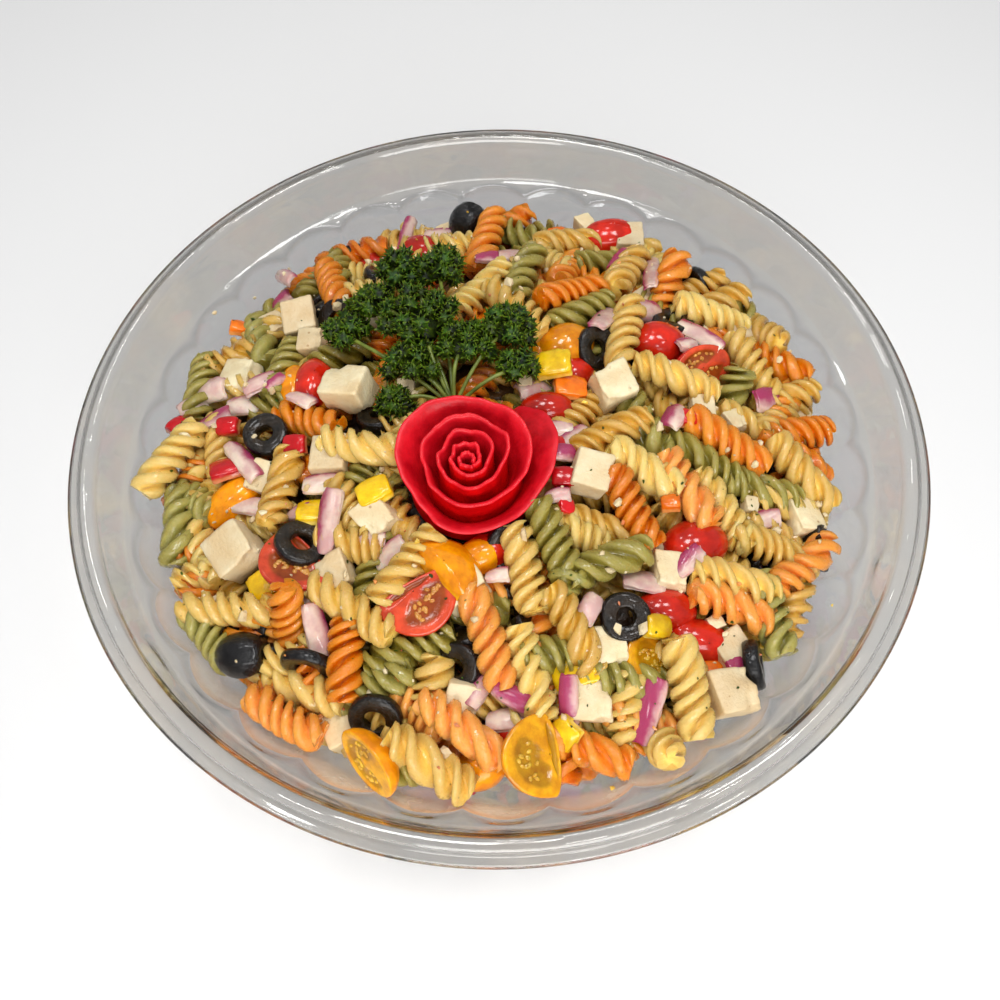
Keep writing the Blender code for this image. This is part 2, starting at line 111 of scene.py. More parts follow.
# Spiral pasta that shows on top: x, y, heading, length, level, and a tilt where an end points up.
YELLOW_SPIRALS = (
    (-60, 92, -20, 26, 0), (-57, 76, 5, 28, 1), (-120, 54, 15, 28, 1), (-20, 108, 0, 26, 1),
    (34, 110, 10, 32, 1), (25, 96, -50, 28, 0), (-5, 74, 50, 34, 2), (9, 59, -52, 36, 2),
    (59, 89, 64, 36, 2), (76, 107, -60, 28, 0), (54, 46, 76, 38, 2), (101, 94, 25, 30, 1),
    (112, 84, 25, 30, 1), (93, 65, -12, 34, 2), (119, 60, -70, 26, 1, 30), (108, 38, -68, 34, 2),
    (130, 26, 20, 30, 1), (72, 24, -22, 36, 2), (-131, 1, 58, 36, 3), (-125, 5, -78, 34, 1),
    (-113, 3, -80, 32, 1), (-84, -20, 80, 34, 2), (-48, -8, -15, 32, 2), (-56, -33, -60, 28, 1),
    (-56, -47, -20, 26, 1), (-97, -32, -25, 30, 0), (-88, -38, 20, 30, 0), (-115, -41, -65, 34, 1),
    (-124, -55, 25, 28, 1), (-102, -66, -8, 37, 2), (-81, -86, 10, 28, 1), (-54, -71, -37, 38, 2),
    (-71, -98, -23, 34, 1), (-32, -55, 48, 34, 2), (8, -59, -80, 33, 2), (27, -46, -30, 28, 1),
    (40, -44, -15, 30, 1), (33, 4, 40, 28, 0), (44, -6, 28, 34, 2), (55, -20, -30, 32, 2),
    (105, 8, -20, 34, 1), (120, 5, 15, 28, 0), (121, -12, -48, 36, 2), (86, -34, -60, 36, 1),
    (101, -48, -15, 32, 1), (86, -62, -12, 34, 2), (10, -96, -75, 35, 2), (24, -82, -62, 34, 2),
    (14, -113, 0, 26, 1), (-26, -124, -32, 35, 2), (67, -104, -80, 36, 2), (56, -117, 95, 28, 1, -50),
    (43, -108, 80, 26, 1), (-26, -100, 70, 22, 1), (-4, -105, 20, 24, 0), (-34, 1, 10, 24, 0),
    (-28, -14, 70, 26, 0), (18, 96, 30, 28, 0),
)
ORANGE_SPIRALS = (
    (-70, 85, -72, 35, 2), (-76, 8, -27, 32, 1), (-3, 110, 75, 36, 2, 18), (34, 90, 60, 26, 0),
    (33, 70, 24, 33, 2), (76, 83, 65, 32, 2, 35), (126, 44, -35, 30, 1), (130, 6, 10, 28, 1),
    (90, -3, -32, 38, 2), (50, -36, -66, 34, 2), (72, -26, -62, 34, 2), (115, -52, 39, 34, 1),
    (84, -72, -16, 33, 2), (-77, -72, 92, 28, 2, 45), (-56, -89, 88, 30, 2), (-78, -107, -32, 32, 1),
    (-6, -84, -72, 38, 2), (12, -79, 80, 28, 0), (-15, -114, -38, 36, 2), (-31, -108, -45, 28, 1),
    (30, -126, -17, 33, 1), (49, -112, -18, 28, 1), (-128, -12, 60, 24, 0), (-127, -46, 0, 24, 0),
    (-86, -79, 30, 24, 0), (2, -68, 0, 24, 0), (100, 52, 20, 28, 0), (-8, 44, 30, 28, 0),
)
GREEN_SPIRALS = (
    (-80, 96, 63, 32, 1), (-102, 59, -74, 34, 1), (-89, 38, 75, 32, 1), (-128, 37, 88, 34, 1),
    (-90, 20, 10, 26, 0), (15, 118, -30, 28, 1), (14, 82, 72, 34, 2), (36, 58, 30, 32, 1),
    (14, 28, -20, 26, 0), (58, 0, -65, 34, 1), (97, 22, 60, 22, 1, 55), (111, 70, -60, 26, 0),
    (81, -14, -28, 36, 1), (103, -24, -10, 32, 1), (105, -76, -82, 32, 1), (16, -48, -68, 36, 2),
    (37, -60, 22, 38, 2), (-33, -88, 15, 34, 1), (-46, -100, 15, 32, 1), (-132, -31, -87, 34, 1),
    (-122, -18, -45, 28, 1), (-109, -76, -50, 30, 1), (-54, -22, 40, 26, 0), (-47, -58, 75, 30, 0),
    (43, -99, -8, 30, 1), (17, -91, 0, 24, 1), (28, -114, 0, 24, 0), (47, 96, 15, 26, 0),
    (-34, -128, 0, 22, 1), (74, 64, -40, 28, 0), (-66, 40, 30, 28, 0),
)
# Olives: x, y, heading, lean, level, and the shape: 0 a ring, 1 a whole olive, 2 a half ring.
OLIVES = (
    (-12, 127, 20, 10, 1, 1), (-49, 88, 30, 30, 1, 0), (-76, 77, 120, 25, 1, 0), (-67, 62, 250, 35, 1, 0),
    (90, 87, 200, 78, 1, 0), (76, 58, 60, 18, 1, 0), (41, 38, 300, 45, 1, 0), (-92, 4, 240, 8, 2, 0),
    (-47, 5, 80, 30, 0, 0), (-74, -45, 40, 32, 2, 0), (-66, -44, 200, 60, 0, 0), (-95, -73, 260, 20, 1, 0),
    (-98, -87, 0, 86, 1, 1), (-86, -90, 250, 30, 0, 0), (-85, -97, 200, 40, 0, 0),
    (-70, -89, 265, 68, 2, 0), (-45, -109, 250, 48, 2, 0), (4, -52, 300, 42, 1, 0), (3, -75, 30, 35, 1, 2),
    (-14, -84, 100, 50, 0, 0), (-16, -94, 210, 42, 1, 0), (44, -77, 250, 6, 2, 0), (74, -76, 150, 30, 0, 0),
    (91, -92, 10, 74, 1, 0), (103, -56, 60, 40, 0, 2), (125, -44, 190, 50, 2, 2),
)
# Tomato pieces: x, y, heading, length, width, level, tilt over the long axis, and a shape where it shows.
# Past a tilt of 90 the cut face is up.
RED_TOMATOES = (
    (-54, 101, 10, 22, 16, 0, 20), (-33, 110, -25, 27, 18, 1, -30), (58, 121, 5, 30, 20, 1, 35),
    (-75, 29, 85, 27, 17, 1, 10), (69, 44, 0, 25, 20, 1, 25), (84, 33, 25, 28, 19, 1, -135),
    (95, 50, 40, 18, 14, 0, 20), (20, 8, 0, 22, 14, 1, -20), (33, 25, 30, 18, 14, 0, 30),
    (-78, -54, -50, 29, 23, 2, 168, 6), (-28, -72, 25, 30, 22, 2, 200, 6), (-5, -53, 0, 18, 14, 1, 30),
    (74, -47, 15, 27, 21, 1, -20), (61, -73, 0, 24, 17, 1, -15), (73, -85, -12, 28, 17, 1, 20),
    (122, -24, 30, 18, 14, 0, 0), (5, -116, 0, 20, 14, 1, 20), (-115, 48, 60, 20, 14, 0, 10),
)
YELLOW_TOMATOES = (
    (29, 40, 20, 25, 20, 1, 10), (18, 35, 70, 20, 15, 0, 0), (-105, -23, 35, 28, 17, 1, 15),
    (-15, -54, -50, 31, 21, 2, -15, 5), (-10, -48, 20, 20, 14, 1, 10), (52, -91, -80, 25, 21, 1, 160, 6),
    (8, -127, -82, 29, 24, 2, 155, 5), (-46, -124, -50, 28, 20, 2, -112, 4), (-8, -130, 30, 20, 16, 0, 20),
    (-83, 28, 90, 22, 12, 1, 30),
)
# Cheese cubes: x, y, size, heading, level.
CHEESE = (
    (-84, 66, 19, 10, 2), (-97, 67, 13, 20, 1), (-77, 50, 15, 0, 1), (-107, 37, 20, -10, 1),
    (-59, 20, 22, -15, 2), (62, 115, 17, 0, 1), (43, 124, 11, 30, 1), (46, 17, 20, 20, 2),
    (107, 56, 13, 30, 1), (-91, -16, 16, 70, 1), (-65, -11, 19, -5, 1), (-42, -37, 18, 40, 1),
    (-100, -44, 22, 35, 2), (-61, -58, 17, 20, 1), (34, -23, 19, -15, 2), (-15, -66, 21, 35, 1),
    (-14, -104, 16, 80, 1), (38, -88, 18, 10, 1), (31, -106, 20, 0, 1), (62, -61, 17, 0, 1),
    (58, -53, 11, 20, 0), (83, -88, 18, 30, 1), (81, -101, 21, 15, 2), (119, -33, 18, 10, 1),
    (-57, -113, 18, 25, 0), (97, -31, 8, 0, 1), (82, 10, 14, 0, 1), (95, 6, 11, 30, 1), (78, -78, 8, 20, 1),
    (11, 19, 7, 0, 1), (-36, 18, 9, 0, 1), (-52, 60, 15, 20, 0), (66, 70, 15, 40, 0),
)
# Onion: x, y, heading, length, width, level, and how much of it is purple.
ONIONS = (
    (-92, 93, -50, 20, 8, 2, 0.3), (-95, 83, 20, 13, 9, 1, 0.9), (-119, 34, 0, 16, 12, 2, 0.1),
    (-97, 30, 20, 15, 10, 2, 0.5), (-91, 30, 45, 10, 7, 2, 1.0), (-105, 22, 0, 15, 11, 1, 0.2),
    (-134, 28, 30, 13, 9, 1, 0.2), (-78, 18, -40, 13, 9, 2, 0.3), (-117, 17, 15, 18, 10, 2, 0.8),
    (-43, 128, 80, 24, 7, 1, 0.5), (-26, 121, 0, 14, 9, 1, 0.5), (-3, 94, 0, 11, 9, 2, 1.0),
    (7, 97, 0, 16, 11, 1, 0.1), (56, 97, 60, 17, 7, 2, 0.9), (70, 90, 85, 35, 8, 2, 0.25),
    (46, 54, 60, 26, 10, 2, 0.25), (64, 62, 0, 15, 12, 1, 0.2), (86, 50, -45, 24, 9, 2, 0.3),
    (79, 43, 20, 10, 8, 2, 0.4), (108, 66, 0, 11, 9, 1, 0.2), (111, 20, 10, 17, 12, 2, 0.7),
    (69, 3, 60, 14, 10, 2, 0.6), (23, -5, 0, 13, 10, 1, 0.2), (30, -8, 40, 15, 10, 1, 0.2),
    (23, -15, 0, 10, 8, 2, 0.9), (21, -33, 0, 10, 7, 2, 0.6), (15, 15, 20, 17, 11, 0, 0.1),
    (-100, -7, -55, 26, 9, 2, 0.45), (-97, -27, -20, 15, 10, 1, 0.2), (-68, -22, 0, 15, 11, 1, 0.3),
    (-63, -38, 75, 26, 10, 2, 0.5), (-76, -33, 0, 10, 8, 1, 0.4), (-48, -47, 0, 12, 9, 1, 0.1),
    (-40, -53, 30, 15, 10, 1, 0.2), (-28, -64, 0, 15, 10, 1, 0.1), (-67, -78, -70, 21, 10, 2, 0.3),
    (-68, -67, 0, 10, 8, 1, 0.2), (-1, -63, 0, 9, 7, 2, 0.3), (31, -75, 60, 12, 9, 2, 0.1),
    (23, -106, 80, 22, 8, 2, 0.9), (27, -103, 70, 16, 9, 1, 0.1), (51, -108, 65, 25, 10, 2, 0.95),
    (3, -104, -30, 15, 9, 2, 1.0), (-9, -103, 60, 15, 9, 1, 0.5), (1, -113, 0, 15, 11, 1, 0.1),
    (85, -91, 15, 12, 8, 2, 0.9), (103, -36, 0, 12, 9, 1, 0.2), (69, -56, 40, 14, 9, 2, 0.6),
    (52, -65, 0, 17, 12, 1, 0.1), (64, -90, 0, 10, 8, 1, 0.2), (-20, -110, 40, 14, 9, 0, 0.3),
    (112, 8, 70, 14, 9, 0, 0.4),
)
# Pepper dice: x, y, heading, size, level, and the colour: 0 yellow, 0.5 orange, 1 red.
PEPPERS = (
    (23, 27, 0, 14, 2, 0.0), (-45, -28, 20, 13, 2, 0.0), (-70, -34, 0, 14, 1, 0.0),
    (-88, -59, 30, 13, 1, 0.0), (26, -96, 10, 17, 1, 0.0), (55, -80, 0, 10, 2, 0.0),
    (21, -116, 40, 12, 2, 0.0), (58, 62, 0, 7, 2, 0.0), (-107, -9, 10, 13, 2, 1.0),
    (-109, 12, 0, 9, 2, 1.0), (-133, 17, 50, 11, 1, 1.0), (-79, -3, 0, 9, 2, 1.0), (22, -25, 0, 9, 2, 1.0),
    (24, -12, 20, 9, 1, 1.0), (24, -37, 0, 6, 2, 1.0), (73, 4, 0, 9, 2, 1.0), (29, 16, 0, 13, 1, 0.5),
    (97, 80, -30, 13, 1, 0.5), (29, 117, 0, 9, 1, 0.5), (-113, 68, 0, 8, 1, 0.5), (64, -34, 0, 7, 2, 0.5),
    (75, -95, 0, 9, 1, 0.5), (112, -92, 0, 9, 0, 0.0), (-20, 100, 30, 9, 0, 1.0),
)

# Crumbs that stick to the wall: the kind, the angle round the bowl, the height and the size.
STUCK_CRUMBS = (
    ("cheese_crumbs", 149.0, 69.0, 3.2), ("cheese_crumbs", 141.0, 62.0, 2.4),
    ("pepper_scraps", 285.5, 60.0, 2.6), ("cheese_crumbs", 250.0, 63.0, 1.8),
    ("pepper_scraps", 331.0, 64.0, 1.6),
)

# The rose, as in the model, and the parsley in smaller heads: x, y, height over the core and radius.
ROSE_AT = (-10.6, -23.0)
ROSE_TURNS = 5.25
ROSE_INNER = 1.9
ROSE_OUTER = 23.5
ROSE_FLARE = 8.5
ROSE_TALL = 27.0
ROSE_DROP = 7.0
ROSE_GAP = 8.0
PETAL_WAVE = 0.16
EDGE_WAVE = 0.9
PEEL = 1.7
STEMS_MEET = (-17.0, 9.0)
HEADS = (
    (-40, 73, 25, 11), (-23, 73, 26, 12), (-50, 57, 23, 11), (-61, 43, 20, 10), (-29, 43, 27, 18),
    (4, 37, 24, 13), (8, 20, 18, 9), (-40, 9, 13, 8), (-33, 25, 19, 13), (-13, 30, 22, 13),
)

# How often each colour of pasta is drawn where the photograph doesn't show one.
COLOUR_SHARES = {"yellow": 5, "orange": 3, "green": 3}

# Lamps in metres: place, size and watts. All of them aim at the heap.
LAMP_AIM = (0.0, 0.0, 0.07)
LAMPS = {
    "left lamp": ((-0.08, 0.04, 1.0), (0.27, 0.2), 2.7),
    "right lamp": ((0.3, 0.08, 1.0), (0.2, 0.2), 1.85),
    "ceiling lamp 0": ((-0.4, -0.25, 0.95), (0.09, 0.09), 0.5),
    "ceiling lamp 1": ((0.45, -0.35, 0.9), (0.09, 0.09), 0.5),
    "ceiling lamp 2": ((0.05, 0.5, 1.0), (0.09, 0.09), 0.5),
    "ceiling lamp 3": ((-0.35, 0.4, 0.9), (0.09, 0.09), 0.5),
    "ceiling lamp 4": ((0.2, -0.65, 0.9), (0.09, 0.09), 0.5),
    "front lamp": ((0.1, -0.9, 0.5), (0.8, 0.4), 6.8),
}
ROOM_LIGHT = 0.39
FLOOR_REACH = 3000.0


def skin(x, y):
    """The height of the middle of a top piece at a place."""
    share = max(1.0 - (x * x + y * y) / SKIN_RADIUS**2, 0.0)
    return SKIN_EDGE + SKIN_RISE * share**SKIN_POWER


def ridge_radius(height):
    return RIDGE_RADIUS - (LEDGE_HEIGHT - height) / WALL_SLOPE


def wall_radius(height):
    """The radius of the bowl's inside at a height, on the ridges between the flutes."""
    if height < FLUTE_FOOT:
        share = max(height - FLOOR_HEIGHT, 0.0) / (FLUTE_FOOT - FLOOR_HEIGHT)
        return FLOOR_RADIUS + (ridge_radius(FLUTE_FOOT) - FLOOR_RADIUS) * math.sqrt(share)
    if height < LEDGE_HEIGHT:
        return ridge_radius(height)
    return BAND_FOOT + BAND_SLOPE * (height - LEDGE_HEIGHT)


def flute_share(angle):
    """From 0 on a ridge to 1 in the middle of a flute."""
    width = 360.0 / FLUTES
    return math.sin(math.pi * ((math.degrees(angle) % width) / width)) ** 0.8


def flute_radius(angle, height):
    """The radius of the inside of the bowl with its flutes."""
    down = (LEDGE_HEIGHT - height) / (LEDGE_HEIGHT - FLUTE_FOOT)
    return ridge_radius(height) + FLUTE_DEPTH * (1.0 - 0.3 * down) * flute_share(angle)


# Meshes


def polar(radius, angle, height=0.0):
    """The point at a radius, an angle and a height."""
    return Vector((radius * math.cos(angle), radius * math.sin(angle), height))


def mesh_piece(name, points, faces, material=None, smooth=True, **values):
    """A mesh object from points in millimetres, with named lists of one number for each point."""
    mesh = bpy.data.meshes.new(name)
    mesh.from_pydata([Vector(p) * MM for p in points], [], faces)
    mesh.validate()
    if material:
        mesh.materials.append(material)
    mesh.polygons.foreach_set("use_smooth", [smooth] * len(mesh.polygons))
    for label, numbers in values.items():
        mesh.attributes.new(label, "FLOAT", "POINT").data.foreach_set("value", numbers)
    obj = bpy.data.objects.new(name, mesh)
    bpy.context.scene.collection.objects.link(obj)
    return obj


def closed_piece(name, points, faces, merge=0.0, **rest):
    """A closed mesh object: points nearer than a distance are merged, and its faces turned out."""
    obj = mesh_piece(name, points, faces, **rest)
    shape = bmesh.new()
    shape.from_mesh(obj.data)
    if merge:
        bmesh.ops.remove_doubles(shape, verts=shape.verts, dist=merge * MM)
    bmesh.ops.recalc_face_normals(shape, faces=shape.faces)
    shape.to_mesh(obj.data)
    shape.free()
    return obj


def ball(name, steps, radius, moved, side, **rest):
    """An icosphere with each of its points moved and the same number at all of them."""
    shape = bmesh.new()
    bmesh.ops.create_icosphere(shape, subdivisions=steps, radius=radius)
    points = [moved(v.co) for v in shape.verts]
    faces = [tuple(v.index for v in f.verts) for f in shape.faces]
    shape.free()
    return mesh_piece(name, points, faces, side=[side] * len(points), **rest)


def strip_faces(rows, columns, closed, base=0):
    """The quads of a grid of points, joined round where closed."""
    faces = []
    for i in range(rows - 1):
        for k in range(columns if closed else columns - 1):
            a, b = base + i * columns + k, base + i * columns + (k + 1) % columns
            faces.append((a, b, b + columns, a + columns))
    return faces


def dress(piece, node="salad_heap", slot="pasta_salad"):
    """Gives a finished piece to the body, in place of a node of the model."""
    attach(piece, "root")
    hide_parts(node)
    return piece


# Node trees


class Nodes:
    """A node tree under construction."""

    def __init__(self, tree):
        self.tree = tree

    def put(self, socket, value):
        if isinstance(value, bpy.types.NodeSocket):
            self.tree.links.new(value, socket)
        elif value is not None:
            socket.default_value = value

    def add(self, kind, *values, **settings):
        """Adds a node, fills its inputs in order and returns its first output."""
        node = self.tree.nodes.new(kind)
        for key, value in settings.items():
            setattr(node, key, value)
        for socket, value in zip([s for s in node.inputs if s.enabled], values):
            self.put(socket, value)
        return next(s for s in node.outputs if s.enabled)

    def calc(self, operation, *values):
        return self.add("ShaderNodeMath", *values, operation=operation)

    def times(self, first, second):
        return self.calc("MULTIPLY", first, second)

    def times_plus(self, first, second, more):
        return self.calc("MULTIPLY_ADD", first, second, more)

    def vector(self, x=0.0, y=0.0, z=0.0):
        return self.add("ShaderNodeCombineXYZ", x, y, z)

    def mix(self, share, first, second, blend="MIX"):
        return self.add("ShaderNodeMix", share, first, second, data_type="RGBA", blend_type=blend)

    def ramp(self, value, low, high, start=0.0, end=1.0):
        return self.add("ShaderNodeMapRange", value, low, high, start, end, interpolation_type="SMOOTHSTEP")

    def noise(self, scale, detail, roughness):
        """Noise that is fixed to the piece."""
        place = self.add("ShaderNodeTexCoord").node.outputs["Object"]
        return self.add("ShaderNodeTexNoise", place, scale, detail, roughness)


class Group(Nodes):
    """A node group, built node by node. Each input is given by its kind or by its first value."""

    KINDS = {float: "Float", int: "Int", tuple: "Color"}

    def __init__(self, name, kind, outputs, **inputs):
        super().__init__(bpy.data.node_groups.new(name, kind))
        sides = self.tree.interface
        for label, value in inputs.items():
            socket_kind = value if isinstance(value, str) else self.KINDS[type(value)]
            label = label.replace("_", " ")
            socket = sides.new_socket(label, in_out="INPUT", socket_type="NodeSocket" + socket_kind)
            if value != socket_kind:
                socket.default_value = value
        for label, socket_kind in outputs.items():
            sides.new_socket(label, in_out="OUTPUT", socket_type="NodeSocket" + socket_kind)
        self.start = self.tree.nodes.new("NodeGroupInput")

    def __getitem__(self, label):
        return self.start.outputs[label]

    def finish(self, **results):
        end = self.tree.nodes.new("NodeGroupOutput")
        for label, value in results.items():
            self.put(end.inputs[label], value)
        return self.tree


class Tree(Group):
    """A geometry node tree with named inputs."""

    def __init__(self, name, **inputs):
        super().__init__(name, "GeometryNodeTree", {"Geometry": "Geometry"}, Geometry="Geometry", **inputs)
        self.tree.is_modifier = True

    def finish(self, geometry):
        geometry = self.add("GeometryNodeRealizeInstances", geometry)
        geometry = self.add("GeometryNodeSetMaterial", geometry, None, self["Material"])
        return super().finish(Geometry=geometry)


def shared_group(name, make):
    """The node group with a name, made when it is first asked for."""
    return bpy.data.node_groups.get(name) or make()


def grown(group, name, start=None, **inputs):
    """The plain mesh object that a tree makes, from a starting mesh or from nothing."""
    source = start or mesh_piece(name + " start", [], [])
    modifier = source.modifiers.new("grow", "NODES")
    modifier.node_group = group
    for socket in group.interface.items_tree:
        if socket.item_type == "SOCKET" and socket.in_out == "INPUT" and socket.name in inputs:
            modifier[socket.identifier] = inputs[socket.name]
    bpy.context.view_layer.update()
    graph = bpy.context.evaluated_depsgraph_get()
    mesh = bpy.data.meshes.new_from_object(source.evaluated_get(graph), depsgraph=graph)
    source.modifiers.remove(modifier)
    bpy.data.objects.remove(source)
    mesh.name = name
    obj = bpy.data.objects.new(name, mesh)
    bpy.context.scene.collection.objects.link(obj)
    return obj


def spiral_tree():
    """A spiral of pasta along x: a bent line swept by a wheel with three blades that turns as it goes."""
    tree = Tree(
        "spiral pasta", Length=SPIRAL_LONG * MM, Radius=0.0072, Turns=1.75, Blade=0.66, Lean=0.3,
        Bend=0.001, Phase=0.0, Wave=0.0006, Seed=0.0, Rings=26, Sides=24, Material="Material",
    )
    along = tree.add("GeometryNodeSplineParameter")
    half = tree.times(tree["Length"], 0.5)
    ends = tree.vector(tree.times(half, -1.0)), tree.vector(half)
    line = tree.add("GeometryNodeCurvePrimitiveLine", *ends)
    line = tree.add("GeometryNodeResampleCurve", line, None, tree["Rings"])
    across = tree.times_plus(along, 2.0, -1.0)
    bow = tree.times(tree.calc("SUBTRACT", 1.0, tree.times(across, across)), tree["Bend"])
    line = tree.add("GeometryNodeSetPosition", line, None, None, tree.vector(0.0, bow, 0.0))
    turned = tree.times_plus(along, tree.times(tree["Turns"], TURN), tree["Phase"])
    uneven = tree.calc("SINE", tree.times_plus(along, 8.0, tree.times(tree["Seed"], 1.7)))
    line = tree.add("GeometryNodeSetCurveTilt", line, None, tree.times_plus(uneven, 0.42, turned))
    fall = tree.calc("POWER", tree.calc("ABSOLUTE", across), 9.0)
    taper = tree.times_plus(fall, -0.22, 1.0)
    angle = tree.times(tree.calc("DIVIDE", tree.add("GeometryNodeInputIndex"), tree["Sides"]), TURN)
    off = tree.calc("ABSOLUTE", tree.calc("WRAP", angle, math.pi / 3, -math.pi / 3))
    fin = tree.ramp(off, tree.calc("ADD", tree["Blade"], 0.24), tree.calc("SUBTRACT", tree["Blade"], 0.24))
    fin = tree.times(fin, tree.calc("POWER", tree.calc("COSINE", off), 0.5))
    reach = tree.times(tree.times_plus(fin, 0.7, 0.3), tree["Radius"])
    angle = tree.times_plus(fin, tree["Lean"], angle)
    place = tree.vector(*(tree.times(reach, tree.calc(part, angle)) for part in ("COSINE", "SINE")))
    wheel = tree.add("GeometryNodeCurvePrimitiveCircle", tree["Sides"], 1.0)
    wheel = tree.add("GeometryNodeSetPosition", wheel, None, place)
    wheel = tree.add("GeometryNodeStoreNamedAttribute", wheel, None, "fin", fin, data_type="FLOAT")
    body = tree.add("GeometryNodeCurveToMesh", line, wheel, taper, True)
    where = tree.add("GeometryNodeInputPosition")
    wobble = tree.add("ShaderNodeTexNoise", where, tree["Seed"], 130.0, 1.0, 0.5, noise_dimensions="4D")
    wobble = wobble.node.outputs["Color"]
    wobble = tree.add("ShaderNodeVectorMath", wobble, (0.5, 0.5, 0.5), operation="SUBTRACT")
    wobble = tree.add("ShaderNodeVectorMath", wobble, tree["Wave"], operation="SCALE")
    body = tree.add("GeometryNodeSetPosition", body, None, None, wobble)
    return tree.finish(tree.add("GeometryNodeSetShadeSmooth", body))


def scatter_tree():
    """Puts one of a set of shapes on each vertex of a mesh, turned and sized as the vertex says."""
    tree = Tree("scatter", Shapes="Collection", Material="Material")
    shapes = tree.add("GeometryNodeCollectionInfo", tree["Shapes"], True, True)
    turn = tree.add("GeometryNodeInputNamedAttribute", "turn", data_type="FLOAT_VECTOR")
    size = tree.add("GeometryNodeInputNamedAttribute", "size", data_type="FLOAT_VECTOR")
    which = tree.add("GeometryNodeInputNamedAttribute", "which", data_type="INT")
    turn = tree.add("FunctionNodeEulerToRotation", turn)
    start = tree["Geometry"]
    return tree.finish(tree.add("GeometryNodeInstanceOnPoints", start, None, shapes, True, which, turn, size))


def stem_tree():
    """A round stalk swept along the edges of a mesh of lines."""
    tree = Tree("stalks", Thickness=0.0008, Material="Material")
    line = tree.add("GeometryNodeMeshToCurve", tree["Geometry"])
    wheel = tree.add("GeometryNodeCurvePrimitiveCircle", 8, tree["Thickness"])
    stalk = tree.add("GeometryNodeCurveToMesh", line, wheel, 1.0, True)
    return tree.finish(tree.add("GeometryNodeSetShadeSmooth", stalk))


class Places:
    """Where the pieces of one kind lie: a frame, a size, a shape and two numbers for each."""

    LAYERS = (
        ("turn", "FLOAT_VECTOR", "vector"), ("size", "FLOAT_VECTOR", "vector"), ("which", "INT", "value"),
        ("tone", "FLOAT", "value"), ("kind", "FLOAT", "value"),
    )

    def __init__(self):
        self.rows = []

    def add(self, frame, size=(1.0, 1.0, 1.0), which=0, tone=0.5, kind=0.0):
        self.rows.append((frame.translation.copy(), frame.to_euler(), Vector(size), [which], [tone], [kind]))

    def scattered(self, name, shapes, material):
        """All of the pieces as one mesh."""
        start = mesh_piece(name + " points", [row[0] for row in self.rows], [])
        for i, (label, kind, field) in enumerate(self.LAYERS):
            layer = start.data.attributes.new(label, kind, "POINT")
            layer.data.foreach_set(field, [v for row in self.rows for v in row[i + 1]])
        return grown(shared_group("scatter", scatter_tree), name, start, Shapes=shapes, Material=material)


def strew(shapes, kinds, *target):
    """One dressed mesh for each kind, a name with its places and material, from shapes that then go."""
    group = bpy.data.collections.new("shapes")
    for i, obj in enumerate(shapes):
        bpy.context.scene.collection.objects.unlink(obj)
        obj.name = f"shape {i:02d}"
        group.objects.link(obj)
    pieces = [
        dress(places.scattered(name, group, material), *target) for name, (places, material) in kinds.items()
    ]
    for obj in list(group.objects):
        bpy.data.objects.remove(obj)
    bpy.data.collections.remove(group)
    return pieces


# Where pieces lie


def lying(x, y, heading, length, level, tilt=0.0, roll=0.0):
    """The frame of a piece whose x axis runs along the heap's surface, with z off it."""
    angle = math.radians(heading)
    along = polar(1.0, angle)
    reach = 0.4 * length
    here = Vector((x, y, 0.0))
    heights = [skin(*(here + along * s * reach).xy) for s in (-1, 1)]
    along = Vector((along.x, along.y, (heights[1] - heights[0]) / (2 * reach))).normalized()
    side = Vector((0.0, 0.0, 1.0)).cross(along).normalized()
    place = Matrix((along, side, along.cross(side))).transposed().to_4x4()
    lift = LEVELS[level]
    place = place @ Matrix.Rotation(math.radians(-tilt), 4, "Y")
    place = place @ Matrix.Rotation(math.radians(roll), 4, "X")
    place.translation = Vector((x, y - VIEW_LEAN * lift, sum(heights) / 2 + lift))
    return kept_in(clear_of_rose(place, length), length)


def clear_of_rose(place, length):
    """Moves a frame away from the foot of the rose."""
    along = place.to_3x3() @ Vector((1.0, 0.0, 0.0))
    for _ in range(3):
        gaps = [(place.translation + along * length * s).xy - Vector(ROSE_AT) for s in (-0.4, 0.0, 0.4)]
        nearest = min(gaps, key=lambda gap: gap.length)
        short = ROSE_OUTER + ROSE_GAP - nearest.length
        if short > 0.0:
            place.translation += (nearest.normalized() * short).to_3d()
    return place


def kept_in(place, length):
    """Lifts a frame a little, then moves it inwards, until both ends of its piece clear the wall."""
    along = place.to_3x3() @ Vector((1.0, 0.0, 0.0))
    lift = 5.0
    for _ in range(8):
        ends = [place.translation + along * length * s for s in (-0.45, 0.0, 0.45)]
        over = max(end.xy.length + WALL_CLEARANCE - wall_radius(end.z) for end in ends)
        if over <= 0.0:
            break
        rise = min(2.0 * over, lift)
        lift -= rise
        out = place.translation.xy.normalized() * (0.0 if rise else over)
        place.translation += Vector((-out.x, -out.y - VIEW_LEAN * rise * 0.5, rise))
    return place


def leaned(place, heading, lean):
    """The frame with its z axis leant towards a heading."""
    axis = Vector((-math.sin(math.radians(heading)), math.cos(math.radians(heading)), 0.0))
    turned = Matrix.Rotation(math.radians(lean), 4, axis) @ place.to_3x3().to_4x4()
    turned.translation = place.translation
    return turned


def turned_to(way, draw):
    """A frame with its z axis along a direction, turned about it at random."""
    return way.to_track_quat("Z", "Y").to_matrix().to_4x4() @ Matrix.Rotation(draw.uniform(0, 6.3), 4, "Z")


def ball_way(up, angle):
    """A direction, given how far up it points and its angle round."""
    return Vector((math.sqrt(1 - up * up) * math.cos(angle), math.sqrt(1 - up * up) * math.sin(angle), up))


